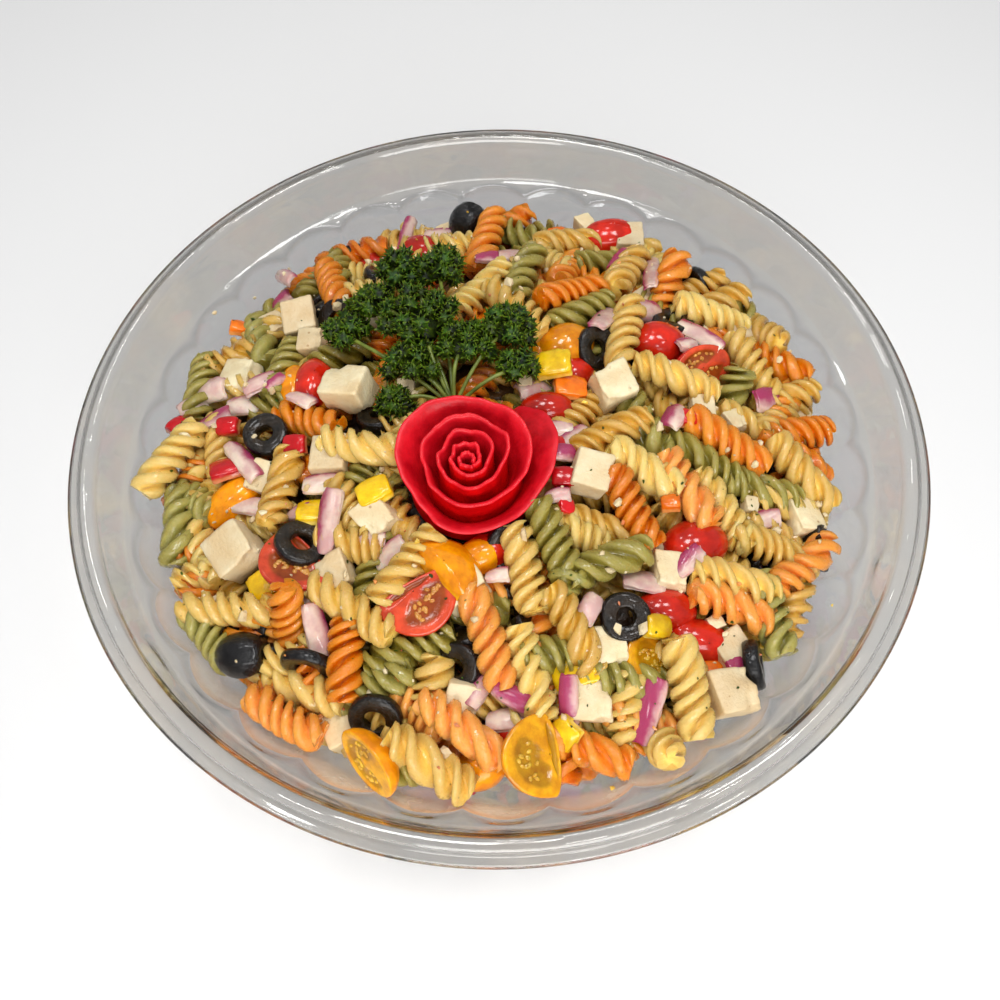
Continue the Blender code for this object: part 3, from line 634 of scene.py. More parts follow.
def spread_points(count, reach, seed):
    """Points spread evenly over a disc by the golden angle, each a little out of place."""
    draw = random.Random(seed)
    for i in range(count):
        r = reach * math.sqrt((i + 0.5) / count)
        angle = i * GOLDEN_ANGLE + draw.uniform(-0.1, 0.1)
        yield r * math.cos(angle), r * math.sin(angle), draw


def unseen_frames():
    """Frames for what shows through the wall and the floor, by kind, with z towards the plastic."""
    # For each kind: its thickness, half its length, the least room below it on the wall, and its share.
    kinds = {
        "spiral": (8.4, 15.0, 0.0, 70), "cheese": (8.8, 4.0, 10.5, 8), "tomato": (6.6, 9.0, 11.0, 8),
        "olive": (3.6, 9.0, 12.5, 7), "pepper": (3.2, 5.0, 0.0, 3), "onion": (4.4, 8.0, 0.0, 4),
    }
    shares = [row[3] for row in kinds.values()]
    high_shares = [0 if kind == "tomato" else row[3] for kind, row in kinds.items()]
    found = {kind: [] for kind in kinds}
    heights, spacing, wall_gap, floor_gap = (12.0, 21.0, 30.0, 39.0, 48.0, 57.0), 30.0, 1.1, 0.8
    draw = random.Random(31)
    for row, height in enumerate(heights):
        count = int(TURN * wall_radius(height) / spacing)
        for k in range(count):
            angle = TURN * (k + 0.5 * (row % 2) + draw.uniform(-0.2, 0.2)) / count
            kind = draw.choices(list(kinds), shares if row < 5 else high_shares)[0]
            tilt = math.radians(draw.uniform(-38, 38) if row else draw.uniform(-12, 12))
            thick, half, fall, _ = kinds[kind]
            down = max(half * abs(math.sin(tilt)) + 0.8 * thick, fall)
            z = max(height + draw.uniform(-2.5, 2.5), FLOOR_HEIGHT + down + 0.6)
            room = min(wall_radius(z - down * s) - thick * (1.0 - s) ** 0.5 for s in (0.0, 0.4, 0.8))
            r = math.sqrt((room - wall_gap) ** 2 - (half * math.cos(tilt)) ** 2)
            place = Matrix.Rotation(angle, 4, "Z") @ Matrix.Rotation(math.radians(90.0), 4, "Y")
            place = place @ Matrix.Rotation(math.radians(90.0) + tilt, 4, "Z")
            place.translation = polar(r, angle, z)
            found[kind].append(place)
    for x, y, spread in spread_points(count=64, reach=BENEATH_REACH, seed=32):
        kind = spread.choices(list(kinds), shares)[0]
        place = Matrix.Rotation(math.pi, 4, "X") @ Matrix.Rotation(spread.uniform(0, TURN), 4, "Z")
        place.translation = Vector((x, y, FLOOR_HEIGHT + kinds[kind][0] + floor_gap))
        found[kind].append(place)
    return found


# Bowl


def bowl_line(angle):
    """The bowl's inside along one direction, from the outer lip to the middle of the floor."""
    share = flute_share(angle)
    offs = [(math.degrees(angle) - at + 180.0) % 360.0 - 180.0 for at in LUG_ANGLES]
    lug = max(math.exp(-((off / LUG_WIDTH) ** 2)) for off in offs)
    ring = polar(1.0, angle)
    uneven = 0.22 * noise.noise(ring * 11.0) + 0.1 * noise.noise(ring * 31.0)
    crest = 89.6 + uneven
    roll = (0.25, 0.6, 0.95, 1.3, 1.65, 2.0, 2.35, 2.7)
    line = [(RIM_RADIUS, LIP_HEIGHT), (164.7, 88.45), (163.6, 88.7), (162.2, 88.75), (161.2, 89.1)]
    line += [(158.0 + 3.2 * math.cos(a), crest + 2.4 * math.sin(a)) for a in roll]
    line += [(154.5, 89.4), (154.1, 88.2)]
    for i in range(9):
        s = i / 9
        bump = lug * math.exp(-(((s - 0.5) / 0.3) ** 2))
        line.append((154.0 - 4.0 * s - 1.0 * bump, 87.6 - 13.8 * s))
    arch = LEDGE_HEIGHT - ARCH_DROP * (1.0 - share)
    line += [(149.7, 72.8), (149.3, 72.1), (148.7, 71.65), (148.0, 71.35 + 0.6 * uneven)]
    edge = ridge_radius(arch) + FLUTE_DEPTH * share
    line += [(edge + 0.3, arch + 0.1), (edge, arch - 0.6)]
    for s in (0.04, 0.12, 0.28, 0.55, 0.8, 1.0):
        z = arch + (FLUTE_FOOT - arch) * s
        line.append((ridge_radius(z) + FLUTE_DEPTH * (1.0 - 0.3 * s) * share, z))
    start = ridge_radius(FLUTE_FOOT) + 0.7 * FLUTE_DEPTH * share
    line += [(start - 1.6, 9.6), (106.0, 5.6), (103.0, 3.2), (FOOT_OUTER, WALL), (FOOT_INNER, WALL)]
    return line + [(FLOOR_RADIUS, 2.4), (90.0, FLOOR_HEIGHT), (60.0, FLOOR_HEIGHT), (30.0, FLOOR_HEIGHT)]


def thick_line(line):
    """The same line moved out by the wall's thickness."""
    moved = []
    for i, (r, z) in enumerate(line):
        before, after = line[max(i - 1, 0)], line[min(i + 1, len(line) - 1)]
        dr, dz = after[0] - before[0], after[1] - before[1]
        length = math.hypot(dr, dz)
        moved.append((r - WALL * dz / length, max(z + WALL * dr / length, 0.0)))
    return moved


def eased(line):
    """The same line with its corners at the ledge rounded off, as they are on the outside."""
    for _ in range(2):
        line = [
            ((a[0] + 2 * b[0] + c[0]) / 4, (a[1] + 2 * b[1] + c[1]) / 4) if 62.0 < b[1] < 76.0 else b
            for a, b, c in zip(line[:1] + line[:-1], line, line[1:] + line[-1:])
        ]
    return line


def make_bowl(material):
    steps = FLUTES * 14
    inside = [bowl_line(TURN * k / steps) for k in range(steps)]
    rows = len(inside[0])
    points, faces, band, fold = [], [], [], []
    for side in (inside, [thick_line(eased(line)) for line in inside]):
        base = len(points)
        for row in range(rows):
            points += [polar(line[row][0], TURN * k / steps, line[row][1]) for k, line in enumerate(side)]
            band += [float(row < ARCH_ROWS[0])] * steps
            # The arch rows, where the plastic is given painted shade.
            fold += [float(row in ARCH_ROWS)] * steps
        middle = len(points)
        points.append((0.0, 0.0, side[0][-1][1]))
        band.append(0.0)
        fold.append(0.0)
        last = middle - steps
        faces += strip_faces(rows, steps, True, base)
        faces += [(last + k, last + (k + 1) % steps, middle) for k in range(steps)]
    under = rows * steps + 1
    faces += [(k, (k + 1) % steps, under + (k + 1) % steps, under + k) for k in range(steps)]
    bowl = closed_piece("clear_bowl", points, faces, material=material, band=band, fold=fold)
    dress(bowl, "bowl", "clear_plastic")


# Pasta


def make_spirals(finishes, unseen):
    """The spiral pasta on top, a piece for each colour, and what fills in under it and along the wall."""
    draw = random.Random(11)
    tree = spiral_tree()
    shapes = []
    for i in range(12):
        rings, sides = (27, 24) if i < 8 else (18, 15)
        shapes.append(grown(
            tree, "spiral", Radius=draw.uniform(0.0067, 0.0075), Turns=draw.uniform(1.45, 1.95),
            Blade=draw.uniform(0.64, 0.82), Lean=draw.uniform(0.1, 0.6), Bend=draw.uniform(-0.0028, 0.0028),
            Phase=draw.uniform(0, 2.0), Wave=draw.uniform(0.0010, 0.0018), Seed=float(i), Rings=rings,
            Sides=sides,
        ))
    below = spirals_below()
    for place in unseen:
        below[drawn_colour(draw)].append((place, draw.uniform(0.94, 1.0)))
    kinds = {}
    for colour, rows in (("yellow", YELLOW_SPIRALS), ("orange", ORANGE_SPIRALS), ("green", GREEN_SPIRALS)):
        places = Places()
        for x, y, heading, length, level, *tilt in rows:
            tilt = tilt[0] if tilt else draw.uniform(-7, 7)
            place = lying(x, y, heading, length, level, tilt, draw.uniform(0, 360))
            width = draw.uniform(0.94, 1.04)
            places.add(place, (length / SPIRAL_LONG, width, width), draw.randrange(8), draw.random())
        for place, width in below[colour]:
            # Spirals under the top ones and behind the wall get a lower tone: painted shade that darkens
            # them.
            places.add(place, (0.95, width, width), draw.randrange(8, 12), draw.uniform(0.0, 0.5))
        kinds[f"spirals_{colour}"] = (places, finishes[colour])
    return strew(shapes, kinds)


def drawn_colour(draw):
    return draw.choices(list(COLOUR_SHARES), COLOUR_SHARES.values())[0]


def spirals_below():
    """Frames for the spirals that fill in under the top ones, dealt out by colour."""
    found = {colour: [] for colour in COLOUR_SHARES}
    length = 34.0
    for x, y, draw in spread_points(count=150, reach=SPIRALS_REACH, seed=5):
        place = lying(x, y, draw.uniform(0, 360), length, 0, draw.uniform(-15, 15), draw.uniform(0, 360))
        place.translation.z -= draw.uniform(3.0, 6.0)
        found[drawn_colour(draw)].append((kept_in(place, length), draw.uniform(0.94, 1.02)))
    return found


def make_core(material):
    """The inside of the heap, well under the loose pieces, painted dark brown as the shade in the gaps
    between them.
    """
    steps = 96
    line = [(0.1, FLOOR_HEIGHT + 9.0), (84.0, FLOOR_HEIGHT + 9.0), (98.0, 20.0), (112.0, 40.0)]
    radii = (121.0, 108.0, 92.0, 74.0, 54.0, 32.0, 12.0, 0.1)
    line += [(r, skin(r, 0.0) - INSIDE_UNDER_SKIN) for r in radii]
    points = [polar(r, TURN * k / steps, z) for r, z in line for k in range(steps)]
    points = [at * (1.0 + 0.02 * noise.noise(at * 0.06)) for at in points]
    faces = strip_faces(len(line), steps, True)
    dress(closed_piece("salad_core", points, faces, merge=0.3, material=material))


# Other pieces


def olive_shape(radius, hole, thick, share, seed):
    """A slice of an olive about the z axis, whole or an arc of one, with its cut faces marked."""
    steps = 30
    half = thick / 2
    line = [(hole, 0.0, 1), (hole + 0.1, -half + 0.4, 1), (hole + 0.6, -half, 1), (radius - 1.2, -half, 1)]
    line += [(radius - 0.5, -half + 0.3, 0), (radius, -half * 0.4, 0), (radius, half * 0.4, 0)]
    line += [(radius - 0.5, half - 0.3, 0), (radius - 1.2, half, 1)]
    line += [(hole + 0.6, half, 1), (hole + 0.1, half - 0.4, 1)]
    arcs = steps if share == 1.0 else steps + 1
    points = []
    for k in range(arcs):
        angle = TURN * share * k / steps
        uneven = 1.0 + 0.07 * noise.noise(polar(1.0, angle, seed))
        sway = 0.5 * noise.noise(polar(1.3, angle, seed + 5.0))
        points += [polar(r * uneven, angle, z + sway) for r, z, _ in line]
    rows = len(line)
    last = (arcs - 1) * rows
    faces = strip_faces(arcs, rows, True)
    if share == 1.0:
        faces += [(last + i, last + (i + 1) % rows, (i + 1) % rows, i) for i in range(rows)]
    else:
        faces += [tuple(range(rows)), tuple(range(last, last + rows))]
    return closed_piece("olive", points, faces, cut=[float(cut) for _ in range(arcs) for _, _, cut in line])


def whole_olive(seed):
    """An olive with its stone taken out: an egg with a dent at one end and four creases."""
    steps, rows = 24, 14
    points = []
    for i in range(rows):
        s = math.pi * i / (rows - 1)
        dent = 4.0 * math.exp(-((s / 0.35) ** 2))
        for k in range(steps):
            angle = TURN * k / steps
            r = (8.8 if k % 6 else 7.5) * math.sin(s) + 0.02
            uneven = 1.0 + 0.04 * noise.noise(polar(1.0, angle, s + seed))
            points.append(polar(r * uneven, angle, 11.0 * math.cos(s) - dent))
    faces = strip_faces(rows, steps, True)
    return closed_piece("olive", points, faces, merge=0.05, cut=[0.0] * len(points))


def tomato_room(rooms, angle, share):
    """From 1 in a tomato's flesh to 2 in its gel."""
    wave = abs(math.sin(rooms * angle / 2.0 + 0.3))
    inside = min(max((share - 0.16) / 0.12, 0.0), 1.0) * min(max((0.80 - share) / 0.1, 0.0), 1.0)
    return 1.0 + inside * min(max((wave - 0.32) / 0.2, 0.0), 1.0)


def tomato_seed(middle, out):
    """The points of a seed that lies on the cut face, turned by an angle."""
    points = []
    for i in range(4):
        down = math.pi * (i + 0.5) / 4
        for k in range(7):
            around = TURN * k / 7
            x = 1.05 * math.sin(down) * math.cos(around)
            y = 0.72 * math.sin(down) * math.sin(around)
            x, y = x * math.cos(out) - y * math.sin(out), x * math.sin(out) + y * math.cos(out)
            points.append(middle + Vector((x, y, 0.5 * math.cos(down))))
    return points


def tomato_shape(seed, rooms, wedge=False):
    """Half of a small tomato, its skin up, or a wedge that is cut straight along one side too.

    The cut face has flesh, rooms of gel and seeds.
    """
    draw = random.Random(seed)
    steps, long, wide, deep = 36, TOMATO_LONG / 2, TOMATO_WIDE / 2, 9.0
    points, marks = [], []

    def across(angle, share):
        y = wide * share * math.sin(angle)
        return 1.5 * (0.22 * y if y < 0.0 else y) - 5.2 if wedge else y

    def ring(share, height, mark=None):
        for k in range(steps):
            angle = TURN * k / steps
            x, y = long * share * math.cos(angle), across(angle, share)
            bumpy = 1.0 + 0.03 * noise.noise((x * 0.12, y * 0.12, seed))
            gel = tomato_room(rooms, angle, share) if mark is None else mark
            if wedge and share > 0.9 and math.sin(angle) < -0.3:
                gel = 1.0
            points.append((x * bumpy, y * bumpy, height + (0.7 * (gel - 1.0) if gel > 1.0 else 0.0)))
            marks.append(gel)

    for s in (0.02, 0.25, 0.5, 0.72, 0.88, 0.97):
        ring(s, deep * math.sqrt(1.0 - s * s) - 3.0, 0.0)
    ring(1.0, -2.8, 0.0)
    ring(0.985, -3.2, 0.6)
    for s in (0.93, 0.84, 0.76, 0.66, 0.52, 0.38, 0.27, 0.18, 0.02):
        ring(s, -3.3)
    faces = strip_faces(len(points) // steps, steps, True)
    for _ in range(46):
        angle, share = draw.uniform(0, TURN), draw.uniform(0.3, 0.66)
        if tomato_room(rooms, angle, share) < 1.97 or wedge and math.sin(angle) < 0.1:
            continue
        base = len(points)
        middle = Vector((long * share * math.cos(angle), across(angle, share), -2.6))
        points += tomato_seed(middle, draw.uniform(0, math.pi))
        marks += [3.0] * (len(points) - base)
        faces += strip_faces(4, 7, True, base)
        faces += [tuple(base + k for k in range(7)), tuple(base + 21 + k for k in range(7))]
    return closed_piece("tomato", points, faces, merge=0.05, cut=marks)


def block_points(steps, spread, square):
    """The points of a cube's skin from -1 to 1 with rounded edges, and its quads."""
    shape = bmesh.new()
    bmesh.ops.create_cube(shape, size=2.0)
    bmesh.ops.subdivide_edges(shape, edges=shape.edges, cuts=steps - 1, use_grid_fill=True)
    points = [Vector([math.copysign(abs(c) ** spread, c) for c in v.co]) for v in shape.verts]
    faces = [tuple(v.index for v in f.verts) for f in shape.faces]
    shape.free()
    return [p / sum(abs(c) ** square for c in p) ** (1 / square) for p in points], faces


def cheese_shape(seed):
    """A crumbly cube of cheese of 1 mm a side, with worn corners and a chip or two."""
    draw = random.Random(seed)
    chips = [Vector([draw.choice((-1, 1)) * draw.uniform(0.6, 1.0) for _ in range(3)]) for _ in range(3)]
    sides = Vector([draw.uniform(0.84, 1.0) for _ in range(3)])
    skew = Vector([draw.uniform(-0.1, 0.1) for _ in range(3)])
    points, faces = block_points(10, 0.6, 22)
    placed = []
    for p in points:
        p += p.normalized() * 0.05 * noise.noise(p * 1.2 + Vector((seed, 0, 0)))
        p += p.normalized() * 0.05 * noise.noise(p * 4.5 + Vector((0, seed, 0)))
        for chip in chips:
            near = max(0.0, 1.0 - (p - chip).length / 0.7)
            p -= chip.normalized() * (0.44 + 0.12 * noise.noise(p * 6.0)) * near
        p = Vector((p.x + skew.x * p.z, p.y + skew.y * p.x, p.z + skew.z * p.y))
        placed.append(Vector([c * s for c, s in zip(p, sides)]) * 0.5)
    return closed_piece("cheese", placed, faces, cut=[0.0] * len(placed))


def slab_shape(thick, bow, twist, seed):
    """A curved slab of 20 by 10, which holds how far each point is across it and up through it."""
    points, faces = block_points(8, 0.7, 14)
    placed = []
    for p in points:
        x, y = 10.0 * p.x, 5.0 * p.y * (1.0 - 0.14 * p.x * p.x)
        z = 0.5 * thick * p.z + bow * (1.0 - p.y * p.y) + 0.6 * bow * (1.0 - p.x * p.x) + twist * p.x * p.y
        z += 0.35 * noise.noise((x * 0.25, y * 0.5, seed))
        aside = 0.7 * noise.noise((y * 0.3, z, seed)), 0.8 * noise.noise((x * 0.2, z, seed + 3.0))
        placed.append((x + aside[0], y + aside[1], z))
    side, top = [0.5 + 0.5 * p.y for p in points], [0.5 + 0.5 * p.z for p in points]
    return closed_piece("slab", placed, faces, side=side, top=top)


def make_olives(material, unseen):
    shapes = [
        olive_shape(9.6, 3.7, 5.2, 1.0, 1.0), olive_shape(9.2, 3.3, 5.8, 1.0, 2.0),
        olive_shape(9.9, 4.0, 4.6, 1.0, 3.0), whole_olive(4.0), olive_shape(9.2, 3.5, 5.2, 0.5, 6.0),
    ]
    draw = random.Random(21)
    places = Places()
    for x, y, heading, lean, level, kind in OLIVES:
        place = leaned(lying(x, y, draw.uniform(0, 360), OLIVE_WIDE, level), heading, lean)
        places.add(place, which=(draw.randrange(3), 3, 4)[kind], tone=draw.random())
    for place in unseen:
        places.add(place, which=draw.randrange(3), tone=draw.random())
    return strew(shapes, {"olives": (places, material)})


def make_tomatoes(material, unseen):
    shapes = [tomato_shape(i, rooms, i > 5) for i, rooms in enumerate((2, 3, 2, 2, 1, 2, 2), 1)]
    draw = random.Random(22)
    places = Places()
    for kind, rows in ((0.0, RED_TOMATOES), (1.0, YELLOW_TOMATOES)):
        for x, y, heading, length, width, level, roll, *shape in rows:
            place = lying(x, y, heading, length, level, draw.uniform(-6, 6), roll)
            across, along = width / TOMATO_WIDE, length / TOMATO_LONG
            which = shape[0] if shape else draw.randrange(4)
            places.add(place, (along, across, 0.5 * (along + across)), which, draw.random(), kind)
    for place in unseen:
        places.add(place, (0.95, 0.95, 0.95), draw.randrange(4), draw.random(), float(draw.random() < 0.4))
    return strew(shapes, {"tomatoes": (places, material)})


def make_cheese(material, unseen):
    draw = random.Random(23)
    places = Places()
    for x, y, size, heading, level in CHEESE:
        place = leaned(lying(x, y, heading, size, level), draw.uniform(230, 310), draw.uniform(0, 16))
        size *= CHEESE_SCALE
        places.add(place, (size, size, size * 0.9), draw.randrange(7), draw.random())
    unseen_size = (15.0, 15.0, 13.0)
    for place in unseen:
        places.add(place, unseen_size, draw.randrange(7), draw.random())
    return strew([cheese_shape(float(i)) for i in range(7)], {"cheese_cubes": (places, material)})


def make_vegetables(onion, pepper, onions_unseen, peppers_unseen):
    draw = random.Random(24)
    shapes = [slab_shape(2.0, draw.uniform(1.0, 3.2), draw.uniform(-1, 1), float(i)) for i in range(6)]
    places = Places()
    for x, y, heading, length, width, level, purple in ONIONS:
        place = leaned(lying(x, y, heading, length, level), draw.uniform(0, 360), draw.uniform(5, 30))
        places.add(place, (length / 21.0, width / 11.5, 0.95), draw.randrange(6), draw.random(), purple)
    for place in onions_unseen:
        places.add(place, (0.9, 1.0, 1.0), draw.randrange(6), draw.random(), draw.random())
    pieces = strew(shapes, {"onion_slivers": (places, onion)})
    shapes = [slab_shape(4.6, draw.uniform(0.6, 1.4), draw.uniform(-0.5, 0.5), 9.0 + i) for i in range(4)]
    places = Places()
    for x, y, heading, size, level, hue in PEPPERS:
        place = leaned(lying(x, y, heading, size, level), draw.uniform(0, 360), draw.uniform(5, 35))
        places.add(place, (size / 20.0, size / 11.5, 0.9), draw.randrange(4), draw.random(), hue)
    for place in peppers_unseen:
        places.add(place, (0.55, 0.9, 1.0), draw.randrange(4), draw.random(), draw.choice((0.0, 0.5, 1.0)))
    return pieces + strew(shapes, {"pepper_dice": (places, pepper)})


# Crumbs and dressing


def crumb_shape(seed, flat):
    """A bumpy scrap about 1 mm across."""

    def moved(at):
        at = at * (1.0 + 0.6 * noise.noise(at * 3.0 + Vector((seed, 0, 0))))
        return Vector((at.x, at.y * 0.8, at.z * flat))

    return ball("crumb", 1, 0.5, moved, 0.6, smooth=False)


def landing(pieces, x, y):
    """Where something dropped at a place lands: the point, the way up from it and the piece under it."""
    best = None
    for piece in pieces:
        hit, at, way, _ = piece.ray_cast(Vector((x, y, 200.0)) * MM, Vector((0.0, 0.0, -1.0)))
        if hit and (best is None or at.z > best[0].z):
            best = (at, way, piece)
    return best


def make_crumbs(pieces, finishes):
    """Crumbs of cheese, flakes of herb and scraps of vegetable over the whole heap."""
    draw = random.Random(41)
    shapes = [crumb_shape(float(i), 0.75) for i in range(4)] + [crumb_shape(8.0 + i, 0.25) for i in range(3)]
    kinds = {}
    for name, finish, count, sizes, which in (
        ("cheese_crumbs", "cheese", 180, (1.2, 5.6), (0, 4)),
        ("herb_flakes", "herb", 150, (0.8, 2.2), (4, 7)),
        ("pepper_scraps", "pepper", 50, (1.2, 3.0), (0, 7)),
    ):
        places = Places()
        while len(places.rows) < count:
            r, angle = CRUMBS_REACH * math.sqrt(draw.random()), draw.uniform(0, TURN)
            x, y = r * math.cos(angle), r * math.sin(angle)
            found = landing(pieces, x, y)
            if not found or (Vector((x, y)) - Vector(ROSE_AT)).length < ROSE_OUTER + ROSE_FLARE:
                continue
            at, way, under = found
            if under.name == "tomatoes" and draw.random() < 0.75:
                continue
            place = turned_to(way, draw)
            size = sizes[0] + (sizes[1] - sizes[0]) * draw.random() ** 2.8
            place.translation = at / MM + way * size * 0.15
            hue = draw.choice((0.0, 0.5, 1.0)) if finish == "pepper" else 0.0
            wide = size * draw.uniform(0.6, 1.0)
            places.add(place, (size, wide, size), draw.randrange(*which), draw.random(), hue)
        for stuck, angle, height, size in STUCK_CRUMBS:
            if stuck == name:
                place = Matrix.Rotation(math.radians(angle), 4, "Z")
                r = flute_radius(math.radians(angle), height) - 0.3 * size
                place.translation = place.to_3x3() @ Vector((r, 0.0, height))
                places.add(place, (0.6 * size, size, size), which[0])
        kinds[name] = (places, finishes[finish])
    strew(shapes, kinds)


def make_dressing(material):
    """Thin oily dressing that has run down the flutes nearest the front, one sheet up to their arches."""
    foot, start, reach = 50.0, -168.0, 144.0
    points, top, side = [], [], []
    rows, columns = 14, 145
    for back in (0, 1):
        for i in range(rows):
            for j in range(columns):
                s, t = i / (rows - 1), j / (columns - 1)
                angle = math.radians(start + reach * t)
                high = LEDGE_HEIGHT - ARCH_DROP * (1.0 - flute_share(angle)) - 1.4
                high += 1.2 * noise.noise((angle * 11.0, 0.0, 0.0))
                z = foot + (high - foot) * s
                thick = 0.05 + 0.2 * math.sin(math.pi * s) * math.sin(math.pi * t)
                points.append(polar(flute_radius(angle, z) - 0.08 - back * thick, angle, z))
                top.append(s)
                side.append(max(1.0 - abs(2.0 * t - 0.95) ** 1.5, 0.0))
    count = rows * columns
    grid = strip_faces(rows, columns, False)
    faces = list(grid) + [tuple(count + v for v in reversed(face)) for face in grid]
    rim = list(range(columns)) + [i * columns + columns - 1 for i in range(1, rows)]
    rim += [(rows - 1) * columns + j for j in range(columns - 2, -1, -1)]
    rim += [i * columns for i in range(rows - 2, 0, -1)]
    faces += [(a, b, count + b, count + a) for a, b in zip(rim, rim[1:] + rim[:1])]
    dress(closed_piece("dressing_film", points, faces, material=material, top=top, side=side))


# Garnish


def make_rose(material):
    """One long tomato peel rolled up, its outer turns opened out like petals."""
    per_turn, rows = 48, 14
    steps = int(ROSE_TURNS * per_turn)
    points, side, top = [], [], []
    for i in range(steps + 1):
        s = i / steps
        angle = TURN * (ROSE_TURNS * s - 1.08)
        radius = ROSE_INNER + (ROSE_OUTER - ROSE_INNER) * s**1.45
        gap = 1.45 * (ROSE_OUTER - ROSE_INNER) * s**0.45 / ROSE_TURNS
        lip = ROSE_FLARE * s**3 * (1.0 + PETAL_WAVE * math.sin(3 * angle) + 0.22 * math.sin(angle))
        tall = ROSE_TALL - 2.5 - ROSE_DROP * s**2 + EDGE_WAVE * s * math.sin(2.3 * angle)
        tall += 3.2 * s * math.sin(angle)
        tall *= 1.0 - 0.75 * max((s - 0.965) / 0.035, 0.0) ** 2
        ring = polar(1.0, angle)
        uneven = (0.5 + 2.6 * s) * noise.noise(ring * 2.0 + Vector((4 * s, 0.0, 3.0 * s)))
        nick = (0.4 + 0.9 * s) * noise.noise(ring * (3.0 + 9.0 * s) + Vector((0.0, 7.0 * s, 5.0)))
        middle = Vector(ROSE_AT) + Vector((-0.4, -4.5)) * (1.0 - s) ** 1.5
        for out in (1, -1):
            for row in range(rows) if out > 0 else reversed(range(rows)):
                t = row / (rows - 1)
                curl = (0.2 + 3.2 * s**3) * max(t - 0.78, 0.0) ** 2 * 10.0
                thick = PEEL * (0.5 - 0.04 * t**3) + (0.5 * gap * (1.0 - t) ** 1.8)
                r = max(radius + lip * t * t + curl + uneven * t + nick * t**4 + out * thick, 0.3)
                x, y = middle.x + r * ring.x, middle.y + r * ring.y
                z = skin(x, y) - CORE_UNDER_SKIN + 0.4 + t * (tall + uneven) + nick * t**6 - 0.4 * curl
                z += 0.25 * noise.noise((x * 0.9, y * 0.9, out * 3.0)) * t
                points.append((x, y, z))
                side.append(out * 0.5 + 0.5)
                top.append(t)
    across = 2 * rows
    faces = strip_faces(steps + 1, across, True)
    faces += [tuple(range(across)), tuple(range(steps * across, (steps + 1) * across))]
    rose = closed_piece("tomato_peel_rose", points, faces, material=material, side=side, top=top)
    smooth = rose.modifiers.new("smooth", "SUBSURF")
    smooth.levels = smooth.render_levels = 1
    dress(rose, "tomato_rose", "tomato_peel")


def leaflet_shape(seed):
    """A scrap of curly leaf 6 mm across: a cupped star of five pointed lobes, closed."""
    draw = random.Random(seed)
    steps = 10
    lobes = [draw.uniform(0.75, 1.15) for _ in range(steps)]
    lift = [draw.uniform(-0.5, 1.0) for _ in range(steps)]
    points = []
    for side in (0.16, -0.16):
        points.append((0.0, 0.0, side))
        for k in range(steps):
            r, z = (3.3, 1.3) if k % 2 else (1.5, -0.1)
            points.append(polar(r * lobes[k], TURN * k / steps, z + lift[k] + side))
    last = steps + 1
    faces = []
    for k in range(steps):
        a, b = 1 + k, 1 + (k + 1) % steps
        faces += [(0, a, b), (last, last + b, last + a), (a, last + a, last + b, b)]
    # Side marks the lobe tips, which the leaf colour brightens as painted highlight.
    return closed_piece("leaflet", points, faces, side=([0.0] + [0.35, 1.0] * (steps // 2)) * 2)


def leafy_core():
    """The lumpy inside of a curly head, 1 mm in radius, darkened with painted shade where it is placed."""
    return ball("leafy core", 3, 1.0, lambda at: at * (1.0 + 0.5 * noise.noise(at * 3.0)), 0.0)


def make_parsley(leaf, stalk):
    """Curly heads made of leaflets, and the stalks that carry them."""
    draw = random.Random(25)
    places = Places()
    foot = Vector((*STEMS_MEET, skin(*STEMS_MEET) - CORE_UNDER_SKIN + 3.0))
    leaflets, bends = 11, 8
    lines, edges, twigs = [], [], []
    for x, y, height, radius in HEADS:
        middle = Vector((x, y, skin(x, y) - CORE_UNDER_SKIN + height - radius * 0.55))
        # The core of each head gets the lowest tone: painted shade inside the head.
        places.add(Matrix.Translation(middle), (radius * 0.44, radius * 0.44, radius * 0.36), 6, 0.0)
        sprigs = int(1.35 * radius)
        for i in range(sprigs):
            angle = i * GOLDEN_ANGLE + draw.uniform(-0.4, 0.4)
            out = ball_way(1.0 - 1.6 * (i + 0.5) / sprigs, angle)
            if out.y < -0.5 and out.z < 0.35:
                continue
            sprig = middle + Vector((out.x, out.y, out.z * 0.75)) * (radius - 3.0) * draw.uniform(0.7, 1.04)
            twigs += [middle - Vector((0.0, 0.0, 0.3 * radius)), sprig]
            tone = draw.uniform(-0.15, 0.35)
            for k in range(leaflets):
                up = 1.0 - 1.5 * (k + 0.5) / leaflets
                way = out.to_track_quat("Z", "Y").to_matrix() @ ball_way(up, k * GOLDEN_ANGLE + 0.7 * i)
                place = turned_to(way, draw)
                at = sprig + way * draw.uniform(1.2, 3.1)
                at.z = max(at.z, skin(at.x, at.y) - 4.0)
                place.translation = at
                size = draw.uniform(0.7, 1.1)
                which = draw.randrange(6)
                # Leaflets that face up get a higher tone: painted light.
                places.add(place, (size, size, size), which, tone + 0.4 * up + 0.3 * draw.random())
        rise = Vector((draw.uniform(-3.0, 3.0), draw.uniform(-2.0, 2.0), 5.0))
        base = len(lines)
        for s in (i / bends for i in range(bends + 1)):
            lines.append(foot + (middle - foot) * s + rise * math.sin(math.pi * s))
        edges += [(base + i, base + i + 1) for i in range(bends)]
    target = ("parsley_bunch", "parsley_leaf")
    shapes = [leaflet_shape(i) for i in range(6)] + [leafy_core()]
    strew(shapes, {"parsley_leaves": (places, leaf)}, *target)
    edges += [(len(lines) + i, len(lines) + i + 1) for i in range(0, len(twigs), 2)]
    start = mesh_piece("stalk lines", lines + twigs, [])
    start.data.edges.add(len(edges))
    start.data.edges.foreach_set("vertices", [v for edge in edges for v in edge])
    dress(grown(stem_tree(), "parsley_stalks", start, Material=stalk), *target)


# Materials


